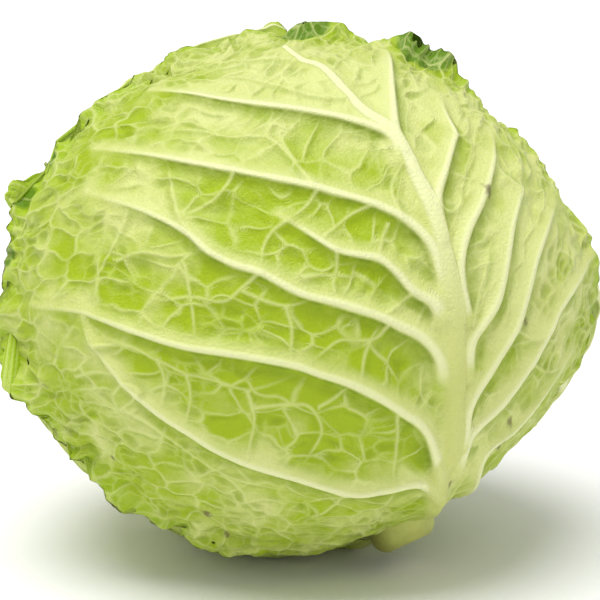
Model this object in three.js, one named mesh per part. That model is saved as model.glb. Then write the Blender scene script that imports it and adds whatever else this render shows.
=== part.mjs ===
// Savoy cabbage head, cut from its root and lying on a flat surface.
// Millimetres, +Z up. The origin is on the surface, straight below the middle of the head.
// The head is a dense heart on a cut stem, wrapped in five leaves that overlap like roof tiles.
import * as THREE from "three";
import { mergeVertices } from "three/addons/utils/BufferGeometryUtils.js";

// Size of the head
const HALF_WIDTH = 97;
const HALF_DEPTH = 91;
const HEIGHT_ABOVE = 87;
const HEIGHT_BELOW = 88.5;
const CENTRE_HEIGHT = 85.2;

// Hollows and swellings of the head: angle round the view from the front in degrees, from its right
// and upwards, then millimetres out and degrees of spread
const SWELLINGS = [
  [0, 5, 13], [40, -3.5, 20], [135, -2.5, 20], [182, -1, 14], [226, -4.5, 20], [322, -8, 20],
];
const VIEW_TILT = 12;

// Cut stem, which points down, right and forwards out of the head
const STEM_TILT = 31.7;
const STEM_HEADING = -37.8;
const STEM_RADIUS = 11.2;
const STEM_CUT_AT = 90.5;
const STEM_ROUNDING = 3;
const STEM_TOP_AT = 55;
const STEM_GAP = 0.5;
const STEM_SIDES = 16;
const STEM_STEPS = 7;
const STEM_WAIST = 1.6;
const STEM_RIDGE = 0.035;
const HOLLOW_DEPTH = 7;
const HOLLOW_SPREAD = 26;

// The heart: how many times its sides are halved, its folds, its clearance and its seat round the stem
const HEART_DETAIL = 5;
const HEART_FOLD = 0.8;
const HEART_GAP = 1;
const HEART_SEAT = 12;

// Leaf blades: how thick one is, and how much deeper each layer lies than the one over it
const BLADE = 0.9;
const LAYER = 4.5;

// Outside its margin a leaf keeps the ones below it down: fully up to TUCK_NEAR, no more from TUCK_FAR
const TUCK_NEAR = 2;
const TUCK_FAR = 15;

// The blade sags between its ribs, and again in each cell of its net of small veins
const RIB_SAG = 2.1;
const RIB_SAG_REACH = 7;
const NET_SAG = 1;
const NET_CELL = 17;
const NET_INSET = 0.15;
const NET_SAG_REACH = 3;

// Points of a blade's grid this near a rib, as a share of their spacing, are moved most of the way onto it
const PULL_REACH = 0.43;
const PULL = 0.85;

// Frilled margin: its width, its waves, how unevenly they stand and bunch, and how far it rolls back
const FRILL_DEPTH = 20;
const WAVES_PER_RING = 0.85;
const FRILL_STEADY = 0.65;
const FRILL_PATCHES = 5;
const FRILL_BUNCHES = 3;
const FRILL_BUNCHING = 1.8;
const FRILL_ROLL = 0.4;
const FLAP_CORE = 0.4;
const OUTLINE_STEPS = 720;
const SCALLOPS = 17;
const SCALLOP = 1.2;

// What lies this near the surface rests flat on it
const ON_SURFACE = 0.01;

// Leaf millimetres are measured along a sphere of this radius, from the middle of the leaf
const MAP_RADIUS = 90;

const CENTRE = new THREE.Vector3(0, 0, CENTRE_HEIGHT);
const STEM_AXIS = new THREE.Vector3(0, 0, -1)
  .applyAxisAngle(new THREE.Vector3(0, -1, 0), THREE.MathUtils.degToRad(STEM_TILT))
  .applyAxisAngle(new THREE.Vector3(0, 0, 1), THREE.MathUtils.degToRad(STEM_HEADING));
const STEM_FRONT = new THREE.Vector3(0, -1, 0).projectOnPlane(STEM_AXIS).normalize();
const STEM_RIGHT = new THREE.Vector3().crossVectors(STEM_FRONT, STEM_AXIS);

// Outlines and frills are lists of [angle in degrees, millimetres] round the middle of a leaf:
// 0 is the leaf's right, 90 its tip, 270 its base at the stem. A flap is a stretch of margin that
// stands off: [angle, half its width in degrees, millimetres].
const FRONT_OUTLINE = [
  [0, 122], [30, 119], [60, 114], [90, 107], [110, 106], [124, 111], [144, 117], [158, 117], [170, 119],
  [182, 110], [195, 108], [206, 110], [220, 118], [235, 122], [245, 125], [258, 131], [270, 128],
  [282, 131], [295, 127], [315, 121], [340, 122],
];
const FRONT_FRILL = [
  [0, 3], [40, 4], [62, 4], [85, 3], [110, 3], [140, 3], [180, 4], [205, 6], [225, 4], [242, 2], [270, 0],
  [320, 2],
];
const FRONT_FLAPS = [[38, 9, 5], [60, 8, 5], [170, 9, 8], [204, 7, 5], [219, 7, 6]];
const WRAPPER_OUTLINE = [
  [0, 112], [35, 114], [65, 112], [90, 106], [115, 112], [145, 114], [180, 112], [210, 112],
  [230, 117], [247, 126], [260, 131], [270, 128], [280, 131], [293, 126], [310, 117], [330, 112],
];
const WRAPPER_FRILL = [
  [0, 4], [60, 7], [120, 7], [180, 5], [220, 4], [245, 1], [270, 0], [295, 1], [320, 4],
];
const CROWN_OUTLINE = [
  [0, 90], [30, 97], [60, 104], [90, 101], [120, 104], [150, 97], [180, 90],
  [215, 90], [238, 108], [254, 142], [270, 190], [286, 142], [302, 108], [325, 90],
];
const CROWN_FRILL = [[0, 3], [60, 4], [90, 4], [120, 4], [180, 3], [240, 0], [300, 0]];

// Ribs of the front leaf, in leaf millimetres from the middle of the leaf, base end first
const FRONT_MIDRIB = [
  [4, -122], [9, -98], [18, -78], [25, -56], [32, -33], [38, -10], [41, 15], [40, 31], [35, 42], [30, 60],
  [25, 92],
];
const FRONT_SIDE_RIBS = [
  [[39, 31], [26, 42], [16, 49], [-1, 70], [-20, 98]],
  [[38, -5], [25, 12], [5, 27], [-7, 37], [-20, 48], [-35, 66], [-52, 82]],
  [[33, -19], [18, -4], [6, 3], [-3, 17], [-8, 36]],
  [[25, -37], [10, -19], [-9, -4], [-17, 7], [-27, 20], [-35, 35], [-61, 63]],
  [[14, -83], [10, -62], [-6, -35], [-18, -25], [-36, -13], [-61, 7], [-96, 29]],
  [[10, -85], [-16, -79], [-32, -62], [-45, -48], [-60, -33], [-76, -16], [-92, -4]],
  [[2, -102], [-24, -97], [-48, -82], [-68, -60], [-88, -44]],
  [[40, 31], [45, 40], [51, 57], [58, 80]],
  [[41, 6], [49, 13], [64, 23], [71, 34], [80, 52]],
  [[41, -14], [57, -1], [69, 6], [82, 15], [98, 34]],
  [[35, -37], [44, -34], [65, -17], [83, -1], [104, 12]],
  [[28, -62], [40, -49], [64, -37], [80, -28], [106, -12]],
  [[22, -70], [40, -67], [58, -58], [87, -44], [108, -33]],
  [[12, -90], [34, -90], [58, -80], [82, -66]],
];

// Ribs of the leaves that have no route of their own follow this rule. The side ribs leave the midrib at
// even steps with a small draw, each a little shorter than the one below it, and rise towards the tip.
const MIDRIB_POINTS = 9;
const MIDRIB_WANDER = 2;
const RIB_PAIRS = 6;
const RIB_POINTS = 5;
const RIB_FIRST = -88;
const RIB_STEP = 27;
const RIB_STEP_DRAW = 8;
const RIB_LENGTH = 92;
const RIB_LENGTH_LOSS = 6;
const RIB_LENGTH_DRAW = 10;
const RIB_RISE = 0.75;
const RIB_BEND = 0.65;

// Width and height of a rib at its base and at its end
const MIDRIB_WIDTH = [8, 3.2];
const MIDRIB_HEIGHT = [6, 2];
const SIDE_RIB_WIDTH = [3.8, 3];
const SIDE_RIB_HEIGHT = [3.2, 1.5];

const swellings = SWELLINGS.map(([round, out, spread]) => {
  const middle = new THREE.Vector3(1, 0, 0)
    .applyAxisAngle(new THREE.Vector3(0, -1, 0), THREE.MathUtils.degToRad(round))
    .applyAxisAngle(new THREE.Vector3(-1, 0, 0), THREE.MathUtils.degToRad(VIEW_TILT));
  return { middle, out, spread: THREE.MathUtils.degToRad(spread) };
});

// Seeded draw from 0 to 1 for a place in a grid
function draw(column, row, seed) {
  const value = Math.sin(column * 127.1 + row * 311.7 + seed * 74.7) * 43758.5453;
  return value - Math.floor(value);
}

function smooth(from, to, value) {
  return THREE.MathUtils.smoothstep(value, from, to);
}

function stemDirection(fromStem, round) {
  const a = THREE.MathUtils.degToRad(fromStem);
  const b = THREE.MathUtils.degToRad(round);
  return STEM_AXIS.clone().multiplyScalar(Math.cos(a))
    .addScaledVector(STEM_FRONT, Math.sin(a) * Math.cos(b))
    .addScaledVector(STEM_RIGHT, Math.sin(a) * Math.sin(b));
}

// Smooth closed curve through [angle, value] pairs, read at an angle in radians
function roundCurve(pairs) {
  const count = pairs.length;
  const at = (index) => {
    const turns = Math.floor(index / count);
    const pair = pairs[index - turns * count];
    return [pair[0] + 360 * turns, pair[1]];
  };
  return (angle) => {
    const degrees = (THREE.MathUtils.radToDeg(angle) % 360 + 360) % 360;
    let index = count - 1;
    while (index >= 0 && pairs[index][0] > degrees) {
      index -= 1;
    }
    const before = at(index);
    const after = at(index + 1);
    const u = (degrees - before[0]) / (after[0] - before[0]);
    const slopeIn = (after[1] - at(index - 1)[1]) / (after[0] - at(index - 1)[0]);
    const slopeOut = (at(index + 2)[1] - before[1]) / (at(index + 2)[0] - before[0]);
    const span = after[0] - before[0];
    return before[1] * (2 * u ** 3 - 3 * u ** 2 + 1) + slopeIn * span * (u ** 3 - 2 * u ** 2 + u)
      + after[1] * (3 * u ** 2 - 2 * u ** 3) + slopeOut * span * (u ** 3 - u ** 2);
  };
}

// Smooth outside of the whole head along a direction from its centre, before the surface it lies on
function headRadius(d) {
  const halfHeight = d.z > 0 ? HEIGHT_ABOVE : HEIGHT_BELOW;
  let radius = 1 / Math.hypot(d.x / HALF_WIDTH, d.y / HALF_DEPTH, d.z / halfHeight);
  const fromStem = MAP_RADIUS * d.angleTo(STEM_AXIS);
  radius -= HOLLOW_DEPTH * Math.exp(-((fromStem / HOLLOW_SPREAD) ** 2));
  for (const { middle, out, spread } of swellings) {
    radius += out * Math.exp(-((d.angleTo(middle) / spread) ** 2));
  }
  return radius;
}

function floorRadius(d) {
  return d.z < -0.5 ? CENTRE_HEIGHT / -d.z : Infinity;
}

// Distance from the stem's axis to a leaf's under side at a place in leaf millimetres
function stemDistance(leaf, x, y) {
  const d = leafDirection(leaf, x, y);
  const radius = headRadius(d) - LAYER * leaf.outer.length - BLADE;
  return radius * Math.sin(Math.min(d.angleTo(STEM_AXIS), Math.PI / 2));
}

// A leaf lies on the head round its own middle, which is given by two angles at the stem.
// Its outline is cut back where it meets the stem. outer holds the leaves that lie over it.
function makeLeaf({ fromStem, round, outline, frill, flaps = [], ribs, rings, seed, outer }) {
  const middle = stemDirection(fromStem, round);
  const tip = stemDirection(fromStem + 90, round);
  const right = new THREE.Vector3().crossVectors(tip, middle);
  const leaf = { middle, tip, right, ribs, rings, seed, outer, flaps, frill: roundCurve(frill) };
  const open = roundCurve(outline);
  const spacing = open(0) / rings;
  const clear = STEM_RADIUS + STEM_GAP + spacing ** 2 / (8 * STEM_RADIUS);
  const reaches = [];
  for (let i = 0; i < OUTLINE_STEPS; i += 1) {
    const angle = (2 * Math.PI * i) / OUTLINE_STEPS;
    let reach = open(angle) + SCALLOP * Math.sin(SCALLOPS * angle + seed);
    while (stemDistance(leaf, reach * Math.cos(angle), reach * Math.sin(angle)) < clear) {
      reach -= 0.25;
    }
    reaches.push(reach);
  }
  leaf.reach = (angle) => {
    const step = ((angle / (2 * Math.PI)) % 1 + 1) % 1 * OUTLINE_STEPS;
    const before = Math.floor(step);
    const next = reaches[(before + 1) % OUTLINE_STEPS];
    return THREE.MathUtils.lerp(reaches[before % OUTLINE_STEPS], next, step - before);
  };
  return leaf;
}

function leafDirection(leaf, x, y) {
  const far = Math.hypot(x, y);
  const angle = far / MAP_RADIUS;
  const share = far > 0 ? Math.sin(angle) / far : 0;
  return leaf.middle.clone().multiplyScalar(Math.cos(angle))
    .addScaledVector(leaf.right, share * x)
    .addScaledVector(leaf.tip, share * y);
}

// How far a direction lies inside a leaf's outline, in millimetres, less than 0 outside it
function insideLeaf(leaf, d) {
  const angle = Math.atan2(d.dot(leaf.tip), d.dot(leaf.right));
  return leaf.reach(angle) - MAP_RADIUS * d.angleTo(leaf.middle);
}

// 1 where a leaf lies over a direction, falling to 0 a little way outside its margin
function cover(leaf, d) {
  return smooth(-TUCK_FAR, -TUCK_NEAR, insideLeaf(leaf, d));
}

function covers(outer, d) {
  return outer.map((leaf) => cover(leaf, d));
}

// Nearest place on a rib: its distance, its share of the way to the rib's end, and the point
function nearestOnRib(points, x, y) {
  let best = { distance: Infinity, share: 0, x, y };
  for (let i = 0; i < points.length - 1; i += 1) {
    const [ax, ay] = points[i];
    const dx = points[i + 1][0] - ax;
    const dy = points[i + 1][1] - ay;
    const t = THREE.MathUtils.clamp(((x - ax) * dx + (y - ay) * dy) / (dx * dx + dy * dy), 0, 1);
    const px = ax + t * dx;
    const py = ay + t * dy;
    const distance = Math.hypot(x - px, y - py);
    if (distance < best.distance) {
      best = { distance, share: (i + t) / (points.length - 1), x: px, y: py };
    }
  }
  return best;
}

function rib(points, width, height) {
  return { points, width, height };
}

function frontRibs() {
  const sides = FRONT_SIDE_RIBS.map((points) => rib(points, SIDE_RIB_WIDTH, SIDE_RIB_HEIGHT));
  return [rib(FRONT_MIDRIB, MIDRIB_WIDTH, MIDRIB_HEIGHT), ...sides];
}

// A midrib that leans a little, with side ribs that leave it in turn and bend towards the tip
function ruledRibs(base, top, lean, seed) {
  const midrib = [];
  for (let i = 0; i < MIDRIB_POINTS; i += 1) {
    const t = i / (MIDRIB_POINTS - 1);
    const x = lean * Math.sin(Math.PI * t) + MIDRIB_WANDER * Math.sin(7 * t + seed);
    midrib.push([x, base + (top - base) * t]);
  }
  const ribs = [rib(midrib, MIDRIB_WIDTH, MIDRIB_HEIGHT)];
  for (let i = 0; i < 2 * RIB_PAIRS; i += 1) {
    const hand = i % 2 ? 1 : -1;
    const y = RIB_FIRST + RIB_STEP * (i / 2) + RIB_STEP_DRAW * draw(i, 1, seed);
    const t = (y - base) / (top - base);
    const x = lean * Math.sin(Math.PI * t);
    const length = RIB_LENGTH - RIB_LENGTH_LOSS * (i / 2) + RIB_LENGTH_DRAW * draw(i, 2, seed);
    const points = [];
    for (let j = 0; j < RIB_POINTS; j += 1) {
      const s = j / (RIB_POINTS - 1);
      const rise = RIB_RISE * THREE.MathUtils.lerp(s, s * s, RIB_BEND);
      points.push([x + hand * length * s, y + length * rise]);
    }
    ribs.push(rib(points, SIDE_RIB_WIDTH, SIDE_RIB_HEIGHT));
  }
  return ribs;
}

// Small veins between the ribs: 0 on a vein, growing towards the middle of its cell
function netDistance(x, y, seed) {
  const column = Math.floor(x / NET_CELL);
  const row = Math.floor(y / NET_CELL);
  const play = 1 - 2 * NET_INSET;
  let first = Infinity;
  let second = Infinity;
  for (let i = column - 2; i <= column + 2; i += 1) {
    for (let j = row - 2; j <= row + 2; j += 1) {
      const px = (i + NET_INSET + play * draw(i, j, seed)) * NET_CELL;
      const py = (j + NET_INSET + play * draw(i, j, seed + 9)) * NET_CELL;
      const distance = Math.hypot(x - px, y - py);
      second = Math.min(second, Math.max(first, distance));
      first = Math.min(first, distance);
    }
  }
  return (second - first) / 2;
}

function sagAndRidge(leaf, x, y) {
  let nearest = Infinity;
  let ridge = 0;
  for (const { points, width, height } of leaf.ribs) {
    const hit = nearestOnRib(points, x, y);
    const wide = THREE.MathUtils.lerp(width[0], width[1], hit.share);
    const high = THREE.MathUtils.lerp(height[0], height[1], hit.share);
    ridge = Math.max(ridge, high * Math.exp(-((hit.distance / wide) ** 2)));
    nearest = Math.min(nearest, Math.max(0, hit.distance - wide / 2));
  }
  const sag = RIB_SAG * (1 - Math.exp(-nearest / RIB_SAG_REACH))
    + NET_SAG * (1 - Math.exp(-netDistance(x, y, leaf.seed) / NET_SAG_REACH));
  return { sag, ridge };
}

// Moves a point of the blade's grid onto a rib that passes close by
function pullToRib(leaf, x, y, spacing) {
  let best = { distance: Infinity, x, y };
  for (const { points } of leaf.ribs) {
    const hit = nearestOnRib(points, x, y);
    if (hit.distance < best.distance) {
      best = hit;
    }
  }
  const pull = best.distance < PULL_REACH * spacing ? PULL : 0;
  return [x + pull * (best.x - x), y + pull * (best.y - y)];
}

function midribOffset(leaf, y) {
  const { points } = leaf.ribs[0];
  let i = 0;
  while (i < points.length - 2 && points[i + 1][1] < y) {
    i += 1;
  }
  const t = THREE.MathUtils.clamp((y - points[i][1]) / (points[i + 1][1] - points[i][1]), 0, 1);
  return THREE.MathUtils.lerp(points[i][0], points[i + 1][0], t);
}

// Grid of rings round a middle point, each ring with six points more than the one inside it
function discGrid(rings) {
  const places = [{ share: 0, angle: 0 }];
  const triangles = [];
  const index = (ring, k) => (ring === 0 ? 0 : 1 + 3 * ring * (ring - 1) + (k % (6 * ring)));
  for (let ring = 1; ring <= rings; ring += 1) {
    for (let k = 0; k < 6 * ring; k += 1) {
      places.push({ share: ring / rings, angle: Math.PI / 2 + (Math.PI * k) / (3 * ring) });
    }
    for (let sector = 0; sector < 6; sector += 1) {
      for (let k = 0; k < ring; k += 1) {
        const outer = sector * ring + k;
        const inner = sector * (ring - 1) + k;
        triangles.push([index(ring, outer), index(ring, outer + 1), index(ring - 1, inner)]);
        if (k < ring - 1) {
          triangles.push([index(ring, outer + 1), index(ring - 1, inner + 1), index(ring - 1, inner)]);
        }
      }
    }
  }
  const rim = [];
  for (let k = 0; k < 6 * rings; k += 1) {
    rim.push(index(rings, k));
  }
  return { places, triangles, rim };
}

function degreesApart(a, b) {
  return Math.abs(THREE.MathUtils.euclideanModulo(a - b + 180, 360) - 180);
}

// How far the margin stands off the head: uneven waves, and the flaps
function frillLift(leaf, round) {
  const waves = Math.round(leaf.rings * WAVES_PER_RING);
  const bunching = FRILL_BUNCHING * Math.sin(FRILL_BUNCHES * round + leaf.seed);
  const wave = 0.5 + 0.5 * Math.sin(waves * round + bunching);
  const uneven = FRILL_STEADY + (1 - FRILL_STEADY) * Math.sin(FRILL_PATCHES * round + 2 * leaf.seed);
  const flaps = leaf.flaps.map(([middle, half, high]) => {
    const turn = degreesApart(THREE.MathUtils.radToDeg(round), middle);
    return high * (1 - smooth(FLAP_CORE * half, half, turn));
  });
  return leaf.frill(round) * wave * uneven + flaps.reduce((sum, one) => sum + one, 0);
}

// Place of one grid point on the blade's outer side, without its ribs, and the height of the rib there
function bladePoint(leaf, share, angle) {
  const reach = leaf.reach(angle);
  let x = share * reach * Math.cos(angle);
  let y = share * reach * Math.sin(angle);
  x += midribOffset(leaf, y) * (1 - share ** 3);
  if (share < 1) {
    [x, y] = pullToRib(leaf, x, y, reach / leaf.rings);
  }
  const d = leafDirection(leaf, x, y);
  const over = covers(leaf.outer, d);
  const free = 1 - Math.max(0, ...over);
  const depth = LAYER * over.reduce((sum, one) => sum + one, 0);
  const { sag, ridge } = sagAndRidge(leaf, x, y);
  const round = Math.atan2(y, x);
  const toMargin = Math.max(0, leaf.reach(round) - Math.hypot(x, y));
  const lift = free * frillLift(leaf, round) * Math.max(0, 1 - toMargin / FRILL_DEPTH) ** 2;
  const rolled = 1 - (FRILL_ROLL * lift) / Math.max(1, Math.hypot(x, y));
  const place = leafDirection(leaf, x * rolled, y * rolled);
  const radius = Math.min(headRadius(d) - sag, floorRadius(d)) - depth + lift;
  return { point: place.multiplyScalar(radius).add(CENTRE), ridge: free * ridge };
}

function geometryFrom(points, triangles) {
  const geometry = new THREE.BufferGeometry().setFromPoints(points);
  geometry.setIndex(triangles.flat());
  return geometry;
}

function meshFrom(geometry, color, name) {
  const material = new THREE.MeshStandardMaterial({ color, roughness: 0.6, metalness: 0 });
  const mesh = new THREE.Mesh(geometry, material);
  mesh.name = name;
  return mesh;
}

// A leaf is a blade of even thickness with its ribs raised on the outer side
function leafMesh(leaf, color, name) {
  const { places, triangles, rim } = discGrid(leaf.rings);
  const blade = places.map(({ share, angle }) => bladePoint(leaf, share, angle));
  const skin = geometryFrom(blade.map(({ point }) => point), triangles);
  skin.computeVertexNormals();
  const normals = skin.getAttribute("normal");
  const outside = [];
  const inside = [];
  blade.forEach(({ point, ridge }, i) => {
    const normal = new THREE.Vector3().fromBufferAttribute(normals, i);
    const top = point.clone().addScaledVector(normal, ridge);
    const under = point.clone().addScaledVector(normal, -BLADE);
    outside.push(top.setZ(top.z < ON_SURFACE ? 0 : top.z));
    inside.push(under.setZ(Math.max(under.z, BLADE)));
  });
  const count = places.length;
  const faces = [...triangles, ...triangles.map(([a, b, c]) => [a + count, c + count, b + count])];
  rim.forEach((a, k) => {
    const b = rim[(k + 1) % rim.length];
    faces.push([a, a + count, b], [b, a + count, b + count]);
  });
  return meshFrom(geometryFrom([...outside, ...inside], faces), color, name);
}

// The tight inner leaves, one closed core under all the others, with a flat seat on the stem's top
function heartMesh(leaves, color, name) {
  const ball = new THREE.IcosahedronGeometry(1, HEART_DETAIL);
  ball.deleteAttribute("normal");
  ball.deleteAttribute("uv");
  const geometry = mergeVertices(ball);
  const position = geometry.getAttribute("position");
  const seatAngle = Math.atan2(STEM_RADIUS + HEART_SEAT, STEM_TOP_AT);
  for (let i = 0; i < position.count; i += 1) {
    const d = new THREE.Vector3().fromBufferAttribute(position, i).normalize();
    const depth = LAYER * covers(leaves, d).reduce((sum, one) => sum + one, 0);
    const round = Math.atan2(d.dot(STEM_RIGHT), d.dot(STEM_FRONT));
    const angle = d.angleTo(STEM_AXIS);
    const folds = HEART_FOLD * (1 + Math.sin(3 * round + 6 * angle));
    let radius = Math.min(headRadius(d), floorRadius(d)) - depth - folds - HEART_GAP;
    if (angle < seatAngle) {
      radius = Math.min(radius, (STEM_TOP_AT - STEM_GAP) / Math.cos(angle));
    }
    const point = d.multiplyScalar(radius).add(CENTRE);
    position.setXYZ(i, point.x, point.y, point.z);
  }
  return meshFrom(geometry, color, name);
}

// The stem with its cut end, slightly ridged where lower leaves were broken off
function stemMesh(color, name) {
  const profile = [new THREE.Vector2(0, STEM_TOP_AT)];
  for (let i = 0; i <= STEM_STEPS; i += 1) {
    const t = i / STEM_STEPS;
    const along = THREE.MathUtils.lerp(STEM_TOP_AT, STEM_CUT_AT - STEM_ROUNDING, t);
    profile.push(new THREE.Vector2(STEM_RADIUS - STEM_WAIST * (1 - t) ** 2, along));
  }
  const corner = STEM_ROUNDING * (1 - Math.SQRT1_2);
  profile.push(new THREE.Vector2(STEM_RADIUS - corner, STEM_CUT_AT - corner));
  profile.push(new THREE.Vector2(STEM_RADIUS - STEM_ROUNDING, STEM_CUT_AT));
  profile.push(new THREE.Vector2(0, STEM_CUT_AT));
  const lathe = new THREE.LatheGeometry(profile, STEM_SIDES);
  lathe.deleteAttribute("normal");
  lathe.deleteAttribute("uv");
  const geometry = mergeVertices(lathe, 1e-3);
  const position = geometry.getAttribute("position");
  for (let i = 0; i < position.count; i += 1) {
    const far = Math.hypot(position.getX(i), position.getZ(i));
    const round = Math.atan2(position.getZ(i), position.getX(i));
    const along = position.getY(i);
    const ridge = far > STEM_RADIUS / 2 ? STEM_RIDGE : 0;
    const grow = 1 - ridge * (1 + Math.sin(3 * round + along / 4));
    const point = STEM_AXIS.clone().multiplyScalar(along)
      .addScaledVector(STEM_FRONT, position.getX(i) * grow)
      .addScaledVector(STEM_RIGHT, position.getZ(i) * grow)
      .add(CENTRE);
    position.setXYZ(i, point.x, point.y, point.z);
  }
  return meshFrom(geometry, color, name);
}

const front = makeLeaf({
  fromStem: 85, round: 12, outline: FRONT_OUTLINE, frill: FRONT_FRILL, flaps: FRONT_FLAPS,
  ribs: frontRibs(), rings: 22, seed: 3, outer: [],
});
const back = makeLeaf({
  fromStem: 82, round: 234, outline: WRAPPER_OUTLINE, frill: WRAPPER_FRILL,
  ribs: ruledRibs(-118, 96, -9, 5), rings: 17, seed: 5, outer: [front],
});
const right = makeLeaf({
  fromStem: 82, round: 100, outline: WRAPPER_OUTLINE, frill: WRAPPER_FRILL,
  ribs: ruledRibs(-118, 96, 8, 8), rings: 16, seed: 8, outer: [front, back],
});
const crownLeft = makeLeaf({
  fromStem: 128, round: 319, outline: CROWN_OUTLINE, frill: CROWN_FRILL,
  ribs: ruledRibs(-180, 94, 6, 11), rings: 12, seed: 11, outer: [front, back, right],
});
const crownBack = makeLeaf({
  fromStem: 124, round: 182, outline: CROWN_OUTLINE, frill: CROWN_FRILL,
  ribs: ruledRibs(-174, 94, -5, 14), rings: 11, seed: 14, outer: [front, back, right, crownLeft],
});

const cabbage = new THREE.Group();
cabbage.add(leafMesh(front, 0xb4c668, "leaf_front"));
cabbage.add(leafMesh(back, 0x9fb84e, "leaf_back"));
cabbage.add(leafMesh(right, 0xa8bd5c, "leaf_right"));
cabbage.add(leafMesh(crownLeft, 0xbccc78, "leaf_crown_left"));
cabbage.add(leafMesh(crownBack, 0xc6d488, "leaf_crown_back"));
cabbage.add(heartMesh([front, back, right, crownLeft, crownBack], 0xdfe6ae, "heart"));
cabbage.add(stemMesh(0xc2c68e, "stem"));

export default cabbage;
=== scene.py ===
"""Looks of a savoy cabbage head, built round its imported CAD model.

Lengths in the formulas are millimetres, and the meshes are scaled to metres when they are written.
A place on a leaf is given in leaf millimetres: x to the leaf's right and y towards its tip, measured
from its middle along a sphere round the middle of the head.
"""

import math

import bmesh
import bpy
import numpy as np
from bpy.props import FloatProperty, FloatVectorProperty, IntProperty, PointerProperty
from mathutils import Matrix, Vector


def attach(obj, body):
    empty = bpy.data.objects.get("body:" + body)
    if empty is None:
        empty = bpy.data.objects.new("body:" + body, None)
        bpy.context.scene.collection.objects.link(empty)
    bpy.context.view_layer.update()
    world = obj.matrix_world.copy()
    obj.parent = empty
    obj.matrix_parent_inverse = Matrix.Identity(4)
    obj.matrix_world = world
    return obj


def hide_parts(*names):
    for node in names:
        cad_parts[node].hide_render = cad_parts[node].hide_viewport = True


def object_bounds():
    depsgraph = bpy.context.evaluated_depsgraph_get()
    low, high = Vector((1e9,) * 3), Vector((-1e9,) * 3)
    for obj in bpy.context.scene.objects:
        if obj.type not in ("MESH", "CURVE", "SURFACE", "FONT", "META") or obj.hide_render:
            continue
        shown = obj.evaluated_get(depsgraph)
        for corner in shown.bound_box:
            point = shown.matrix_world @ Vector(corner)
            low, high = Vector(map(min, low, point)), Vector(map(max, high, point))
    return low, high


bl_info = {
    "name": "Savoy cabbage head",
    "version": (1, 0, 0),
    "blender": (4, 5, 0),
    "location": "3D View > Sidebar > Cabbage",
    "description": "Builds the leaves, heart and stem of a savoy cabbage on its CAD model",
    "category": "Add Mesh",
}

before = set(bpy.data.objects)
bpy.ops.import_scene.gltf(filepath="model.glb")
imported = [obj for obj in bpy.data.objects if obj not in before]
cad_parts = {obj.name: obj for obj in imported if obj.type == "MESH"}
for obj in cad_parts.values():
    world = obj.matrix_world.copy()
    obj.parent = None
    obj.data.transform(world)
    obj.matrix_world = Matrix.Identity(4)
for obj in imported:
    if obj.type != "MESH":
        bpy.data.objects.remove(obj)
CAD_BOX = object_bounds()

MM = 0.001

# The head, as the CAD model has it
HALF_WIDTH = 97
HALF_DEPTH = 91
HEIGHT_ABOVE = 87
HEIGHT_BELOW = 88.5
CENTRE_HEIGHT = 85.2
SWELLINGS = [(0, 5, 13), (40, -3.5, 20), (135, -2.5, 20), (182, -1, 14), (226, -4.5, 20), (322, -8, 20)]
HOLLOW_DEPTH = 7
HOLLOW_SPREAD = 26
MAP_RADIUS = 90

# The stem where the CAD model has it, with a rounder end, and thicker where the front leaf joins it.
# The stops are shares of its section: its top ends, its rounded edge starts, its cut end starts.
STEM_TILT = 31.7
STEM_HEADING = -37.8
STEM_RADIUS = 11.2
STEM_CUT_AT = 90.5
STEM_ROUNDING = 5
STEM_TOP_AT = 55
STEM_STOPS = (0.12, 0.62, 0.72)
STEM_WAIST = 1.6
STEM_SCAR_AT = 84
PETIOLE = 7.5
PETIOLE_AT = 0.35
PETIOLE_SPREAD = 0.7
PETIOLE_RISE = (66, 76)
PETIOLE_FALL = (81, 90)

# The camera looks along +Y and down, and its picture is IMAGE_SIDE pixels square
IMAGE_SIDE = 600
VIEW_TILT = 12
VIEW_DISTANCE = 667
VIEW_WIDTH = 200
VIEW_SHIFT = 5 / 3
SENSOR = 36

# How the leaves lie on each other, as the CAD model has it
LAYER = 4.5
TUCK_NEAR = 2
TUCK_FAR = 15
RIB_SAG = 2.1
RIB_SAG_REACH = 7
FRILL_DEPTH = 20
FRILL_STEADY = 0.65
FRILL_PATCHES = 5
FRILL_BUNCHES = 3
FRILL_BUNCHING = 1.8
FRILL_ROLL = 0.4
FLAP_CORE = 0.4
SCALLOPS = 17
SCALLOP = 1.2
OUTLINE_STEPS = 720

# Room kept between the leaves and the stem, and the steps in which an outline is trimmed to it
STEM_GAP = 0.6
TRIM_STEP = 0.25
TRIM_TURNS = 400

# Relief, ruffles and curl of the blades, finer than the CAD model's. Values in fours are for the
# levels of veins, which are given below.
FAR_ACROSS = 8.0
MIN_CREST = 1.7
RIB_FLARE = 0.7
LEVEL_STRENGTH = (1, 1, 0.8, 0.35)
VEIN_REACH = (26, 26, 10, 10)
TENT_SPREAD = (6, 6, 3.2, 3.2)
TENT_LEAN = 0.35
NET_CELL = 8
NET_STRETCH = 1.7
NET_SLANT = (0.82, 0.57)
NET_HALF_WIDTH = 0.55
NET_RISE = 0.9
MESH_CELL = 4
MESH_HALF_WIDTH = 0.4
MESH_RISE = 0.5
PIT_DEPTH = 0.3
CRUMPLE_REACH = 30
CRUMPLE = 1.7
SWELL = 0.4
GROOVE = 0.4
WRINKLE = (3.4, 4.6)
SMALL_WRINKLE = (2.6, 2.7)
RUFFLE = 2
RUFFLE_SIZE = 11
RUFFLE_REACH = 18
CRIMP = 1.2
CRIMP_SIZE = 5.5
CRIMP_REACH = 10
CALM_BASE = (28, 52)
MARGIN_RADIUS = 115
CURL_STAND = 0.75
UNDERSIDE_DEPTH = 3.9
UNDERSIDE_OVER_FLOOR = 0.8

# Room left between the model and the walls of the CAD model's box
BOX_GAP = 0.3

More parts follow.
